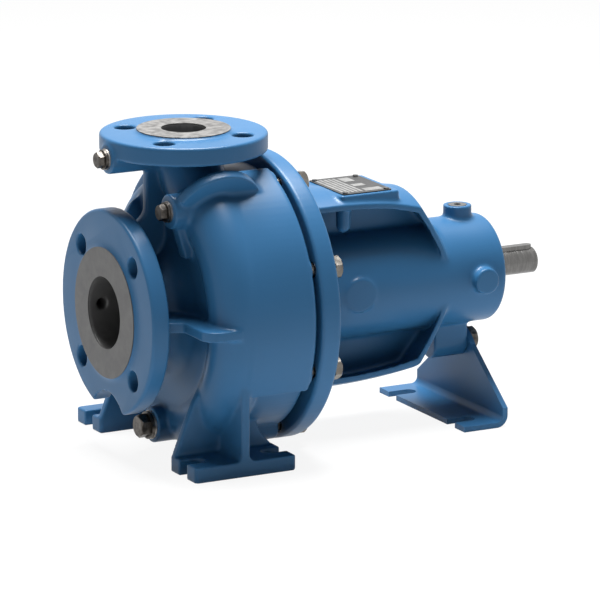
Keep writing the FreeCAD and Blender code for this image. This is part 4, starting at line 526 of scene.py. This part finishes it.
class PUMP_OT_machined_faces(bpy.types.Operator):
    """Adds the bare turned faces of both flanges"""

    bl_idname = "pump.machined_faces"
    bl_label = "Machined flange faces"

    def execute(self, context):
        suction = self.turned_face(
            "suction_face", SUCTION_RAISED_RADIUS, SUCTION_BORE_RADIUS,
            Vector((SUCTION_FACE_X, 0, SHAFT_AXIS_HEIGHT)), (1, 0, 0))
        finish_piece(suction, "root", "bare_iron", finish(bare_iron))
        discharge = self.turned_face(
            "discharge_face", DISCHARGE_RAISED_RADIUS, DISCHARGE_BORE_RADIUS,
            Vector((0, 0, DISCHARGE_FACE_Z)), (0, 0, -1))
        finish_piece(discharge, "root", "bare_iron", finish(flange_face))
        return {"FINISHED"}

    def turned_face(self, name, outer, bore, base, inwards):
        """A thin ring over the raised face, which reaches from the face inwards."""
        profile = [
            (FACE_DEPTH, outer - FACE_CHAMFER),
            (FACE_CHAMFER, outer),
            (0.0, outer - FACE_CHAMFER),
            (0.0, bore + FACE_CHAMFER),
            (FACE_CHAMFER, bore),
            (FACE_DEPTH, bore),
            (FACE_DEPTH, outer - FACE_CHAMFER),
        ]
        return turned_ring(name, profile, base, inwards, FACE_SIDES)


class PUMP_OT_bracket(bpy.types.Operator):
    """Skins the bearing bracket in painted cast iron"""

    bl_idname = "pump.bracket"
    bl_label = "Bearing bracket"

    def execute(self, context):
        piece = cast_skin("bearing_bracket", "painted_bracket", context.scene.pump_looks)
        finish_piece(piece, "root", "cast_paint", finish(cast_paint), finish(bare_iron))
        _, y, z = face_centres(piece).T
        paint_second(piece, np.hypot(y, z - SHAFT_AXIS_HEIGHT) < BEARING_BARE_RADIUS)
        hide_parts("bearing_bracket")
        return {"FINISHED"}


class PUMP_OT_small_parts(bpy.types.Operator):
    """Gives the remaining parts of the pump the finish of their slots"""

    bl_idname = "pump.small_parts"
    bl_label = "Shaft, fasteners and inner parts"

    def execute(self, context):
        slots = {part["node"]: part["material_slot"] for part in frame["record"]["subparts"]}
        makers = {maker.__name__: maker for maker in SLOT_FINISHES}
        for name, part in NODE.items():
            part.data.materials.clear()
            part.data.materials.append(finish(makers[slots[name]]))
        return {"FINISHED"}


class PUMP_OT_plate_print(bpy.types.Operator):
    """Prints plain pale bars and blocks on the name plate"""

    bl_idname = "pump.plate_print"
    bl_label = "Name plate print"

    def execute(self, context):
        marks = []
        for count in range(TEXT_BAR_COUNT):
            along = TEXT_BAR_START + count * TEXT_BAR_STEP
            marks.append(self.mark(along, -TEXT_BAR_REACH, TEXT_BAR_REACH, TEXT_BAR_WIDTH))
        for block in PLATE_BLOCKS:
            marks.append(self.mark(*block))
        for mark in marks:
            mark.select_set(True)
        piece = marks[0]
        bpy.context.view_layer.objects.active = piece
        bpy.ops.object.join()
        piece.name = "plate_print"
        finish_piece(piece, "root", "plate_metal", finish(plate_print))
        return {"FINISHED"}

    def mark(self, along, low, high, width):
        """One flat block that stands out of the plate by the height of the print."""
        bpy.ops.mesh.primitive_cube_add(size=1.0)
        block = bpy.context.object
        block.scale = (width, high - low, 2 * PRINT_HEIGHT)
        block.location = (PLATE_LOW.x + along, (low + high) / 2, PLATE_HIGH.z)
        show_only(block)
        bpy.ops.object.transform_apply(location=True, rotation=True, scale=True)
        return block


class PUMP_OT_stage(bpy.types.Operator):
    """Sets the pale floor, the soft light and the camera"""

    bl_idname = "pump.stage"
    bl_label = "Floor, light and camera"

    def execute(self, context):
        stage = context.scene.pump_stage
        self.floor()
        self.sky(stage.sky_strength)
        self.lamp("Top light", stage.top_light, TOP_LAMP_PLACE, TOP_LAMP_SIZE)
        self.lamp("Side light", stage.side_light, SIDE_LAMP_PLACE, SIDE_LAMP_SIZE)
        bpy.ops.object.camera_add(location=stage.camera_place, rotation=stage.camera_turn)
        camera = context.object
        camera.name = "Picture camera"
        camera.data.sensor_width = SENSOR_WIDTH
        camera.data.lens = stage.lens
        camera.data.clip_end = VIEW_DEPTH
        context.scene.camera = camera
        context.scene.view_settings.view_transform = "Standard"
        return {"FINISHED"}

    def floor(self):
        """A wide plane, white to the camera and to mirrors, that keeps the shadow."""
        bpy.ops.object.select_all(action="DESELECT")
        bpy.ops.mesh.primitive_plane_add(size=FLOOR_SIZE, location=(0, 0, 0))
        floor = bpy.context.object
        floor.name = "Floor"
        material, tree, shader, _ = new_tree("Pale floor")
        shader.inputs["Base Color"].default_value = FLOOR_COLOUR
        shader.inputs["Roughness"].default_value = FLOOR_ROUGHNESS
        shader.inputs["Specular IOR Level"].default_value = FLOOR_SPECULAR
        glow = tree.nodes.new("ShaderNodeEmission")
        mix = tree.nodes.new("ShaderNodeMixShader")
        seen = self.seen_directly(tree)
        weight = tree.nodes.new("ShaderNodeMath")
        weight.operation = "MULTIPLY"
        weight.inputs[1].default_value = FLOOR_GLOW_SHARE
        tree.links.new(seen, weight.inputs[0])
        tree.links.new(weight.outputs["Value"], mix.inputs["Fac"])
        tree.links.new(shader.outputs["BSDF"], mix.inputs[1])
        tree.links.new(glow.outputs["Emission"], mix.inputs[2])
        output = tree.nodes["Material Output"]
        tree.links.new(mix.outputs["Shader"], output.inputs["Surface"])
        floor.data.materials.append(material)

    def seen_directly(self, tree):
        """One for camera, mirror and glass rays, and zero for all other rays."""
        path = tree.nodes.new("ShaderNodeLightPath")
        most = path.outputs["Is Camera Ray"]
        for name in ("Is Glossy Ray", "Is Transmission Ray"):
            larger = tree.nodes.new("ShaderNodeMath")
            larger.operation = "MAXIMUM"
            tree.links.new(most, larger.inputs[0])
            tree.links.new(path.outputs[name], larger.inputs[1])
            most = larger.outputs["Value"]
        return most

    def sky(self, strength):
        """White to the camera and to mirrors, and an even soft light to the rest."""
        world = bpy.data.worlds.new("Studio")
        world.use_nodes = True
        tree = world.node_tree
        background = tree.nodes["Background"]
        background.inputs["Color"].default_value = (1, 1, 1, 1)
        seen = self.seen_directly(tree)
        level = tree.nodes.new("ShaderNodeMapRange")
        level.inputs["To Min"].default_value = strength
        level.inputs["To Max"].default_value = 1.0
        tree.links.new(seen, level.inputs["Value"])
        tree.links.new(level.outputs["Result"], background.inputs["Strength"])
        bpy.context.scene.world = world

    def lamp(self, name, power, spot, size):
        """A round area lamp that aims at the pump."""
        direction = Vector(LAMP_TARGET) - Vector(spot)
        turn = direction.to_track_quat("-Z", "Y").to_euler()
        bpy.ops.object.light_add(type="AREA", location=spot, rotation=turn)
        lamp = bpy.context.object
        lamp.name = name
        lamp.data.shape = "DISK"
        lamp.data.size = size
        lamp.data.energy = power


class PUMP_PT_panel(bpy.types.Panel):
    """Lists the steps that finish the pump"""

    bl_label = "Volute pump"
    bl_idname = "PUMP_PT_panel"
    bl_space_type = "VIEW_3D"
    bl_region_type = "UI"
    bl_category = "Pump"

    def draw(self, context):
        layout = self.layout
        for group in (context.scene.pump_looks, context.scene.pump_stage):
            for name in group.__annotations__:
                layout.prop(group, name)
        for step in STEPS:
            layout.operator(step.bl_idname)


STEPS = (
    PUMP_OT_small_parts,
    PUMP_OT_casing,
    PUMP_OT_machined_faces,
    PUMP_OT_bracket,
    PUMP_OT_plate_print,
    PUMP_OT_stage,
)
CLASSES = (PumpLooks, PumpStage, PUMP_PT_panel) + STEPS


def register():
    for kind in CLASSES:
        bpy.utils.register_class(kind)
    bpy.types.Scene.pump_looks = bpy.props.PointerProperty(type=PumpLooks)
    bpy.types.Scene.pump_stage = bpy.props.PointerProperty(type=PumpStage)


def unregister():
    del bpy.types.Scene.pump_stage
    del bpy.types.Scene.pump_looks
    for kind in reversed(CLASSES):
        bpy.utils.unregister_class(kind)


def main():
    register()
    bpy.ops.pump.small_parts()
    bpy.ops.pump.casing()
    bpy.ops.pump.machined_faces()
    bpy.ops.pump.bracket()
    bpy.ops.pump.plate_print()
    bpy.ops.pump.stage()


if __name__ == "__main__":
    main()
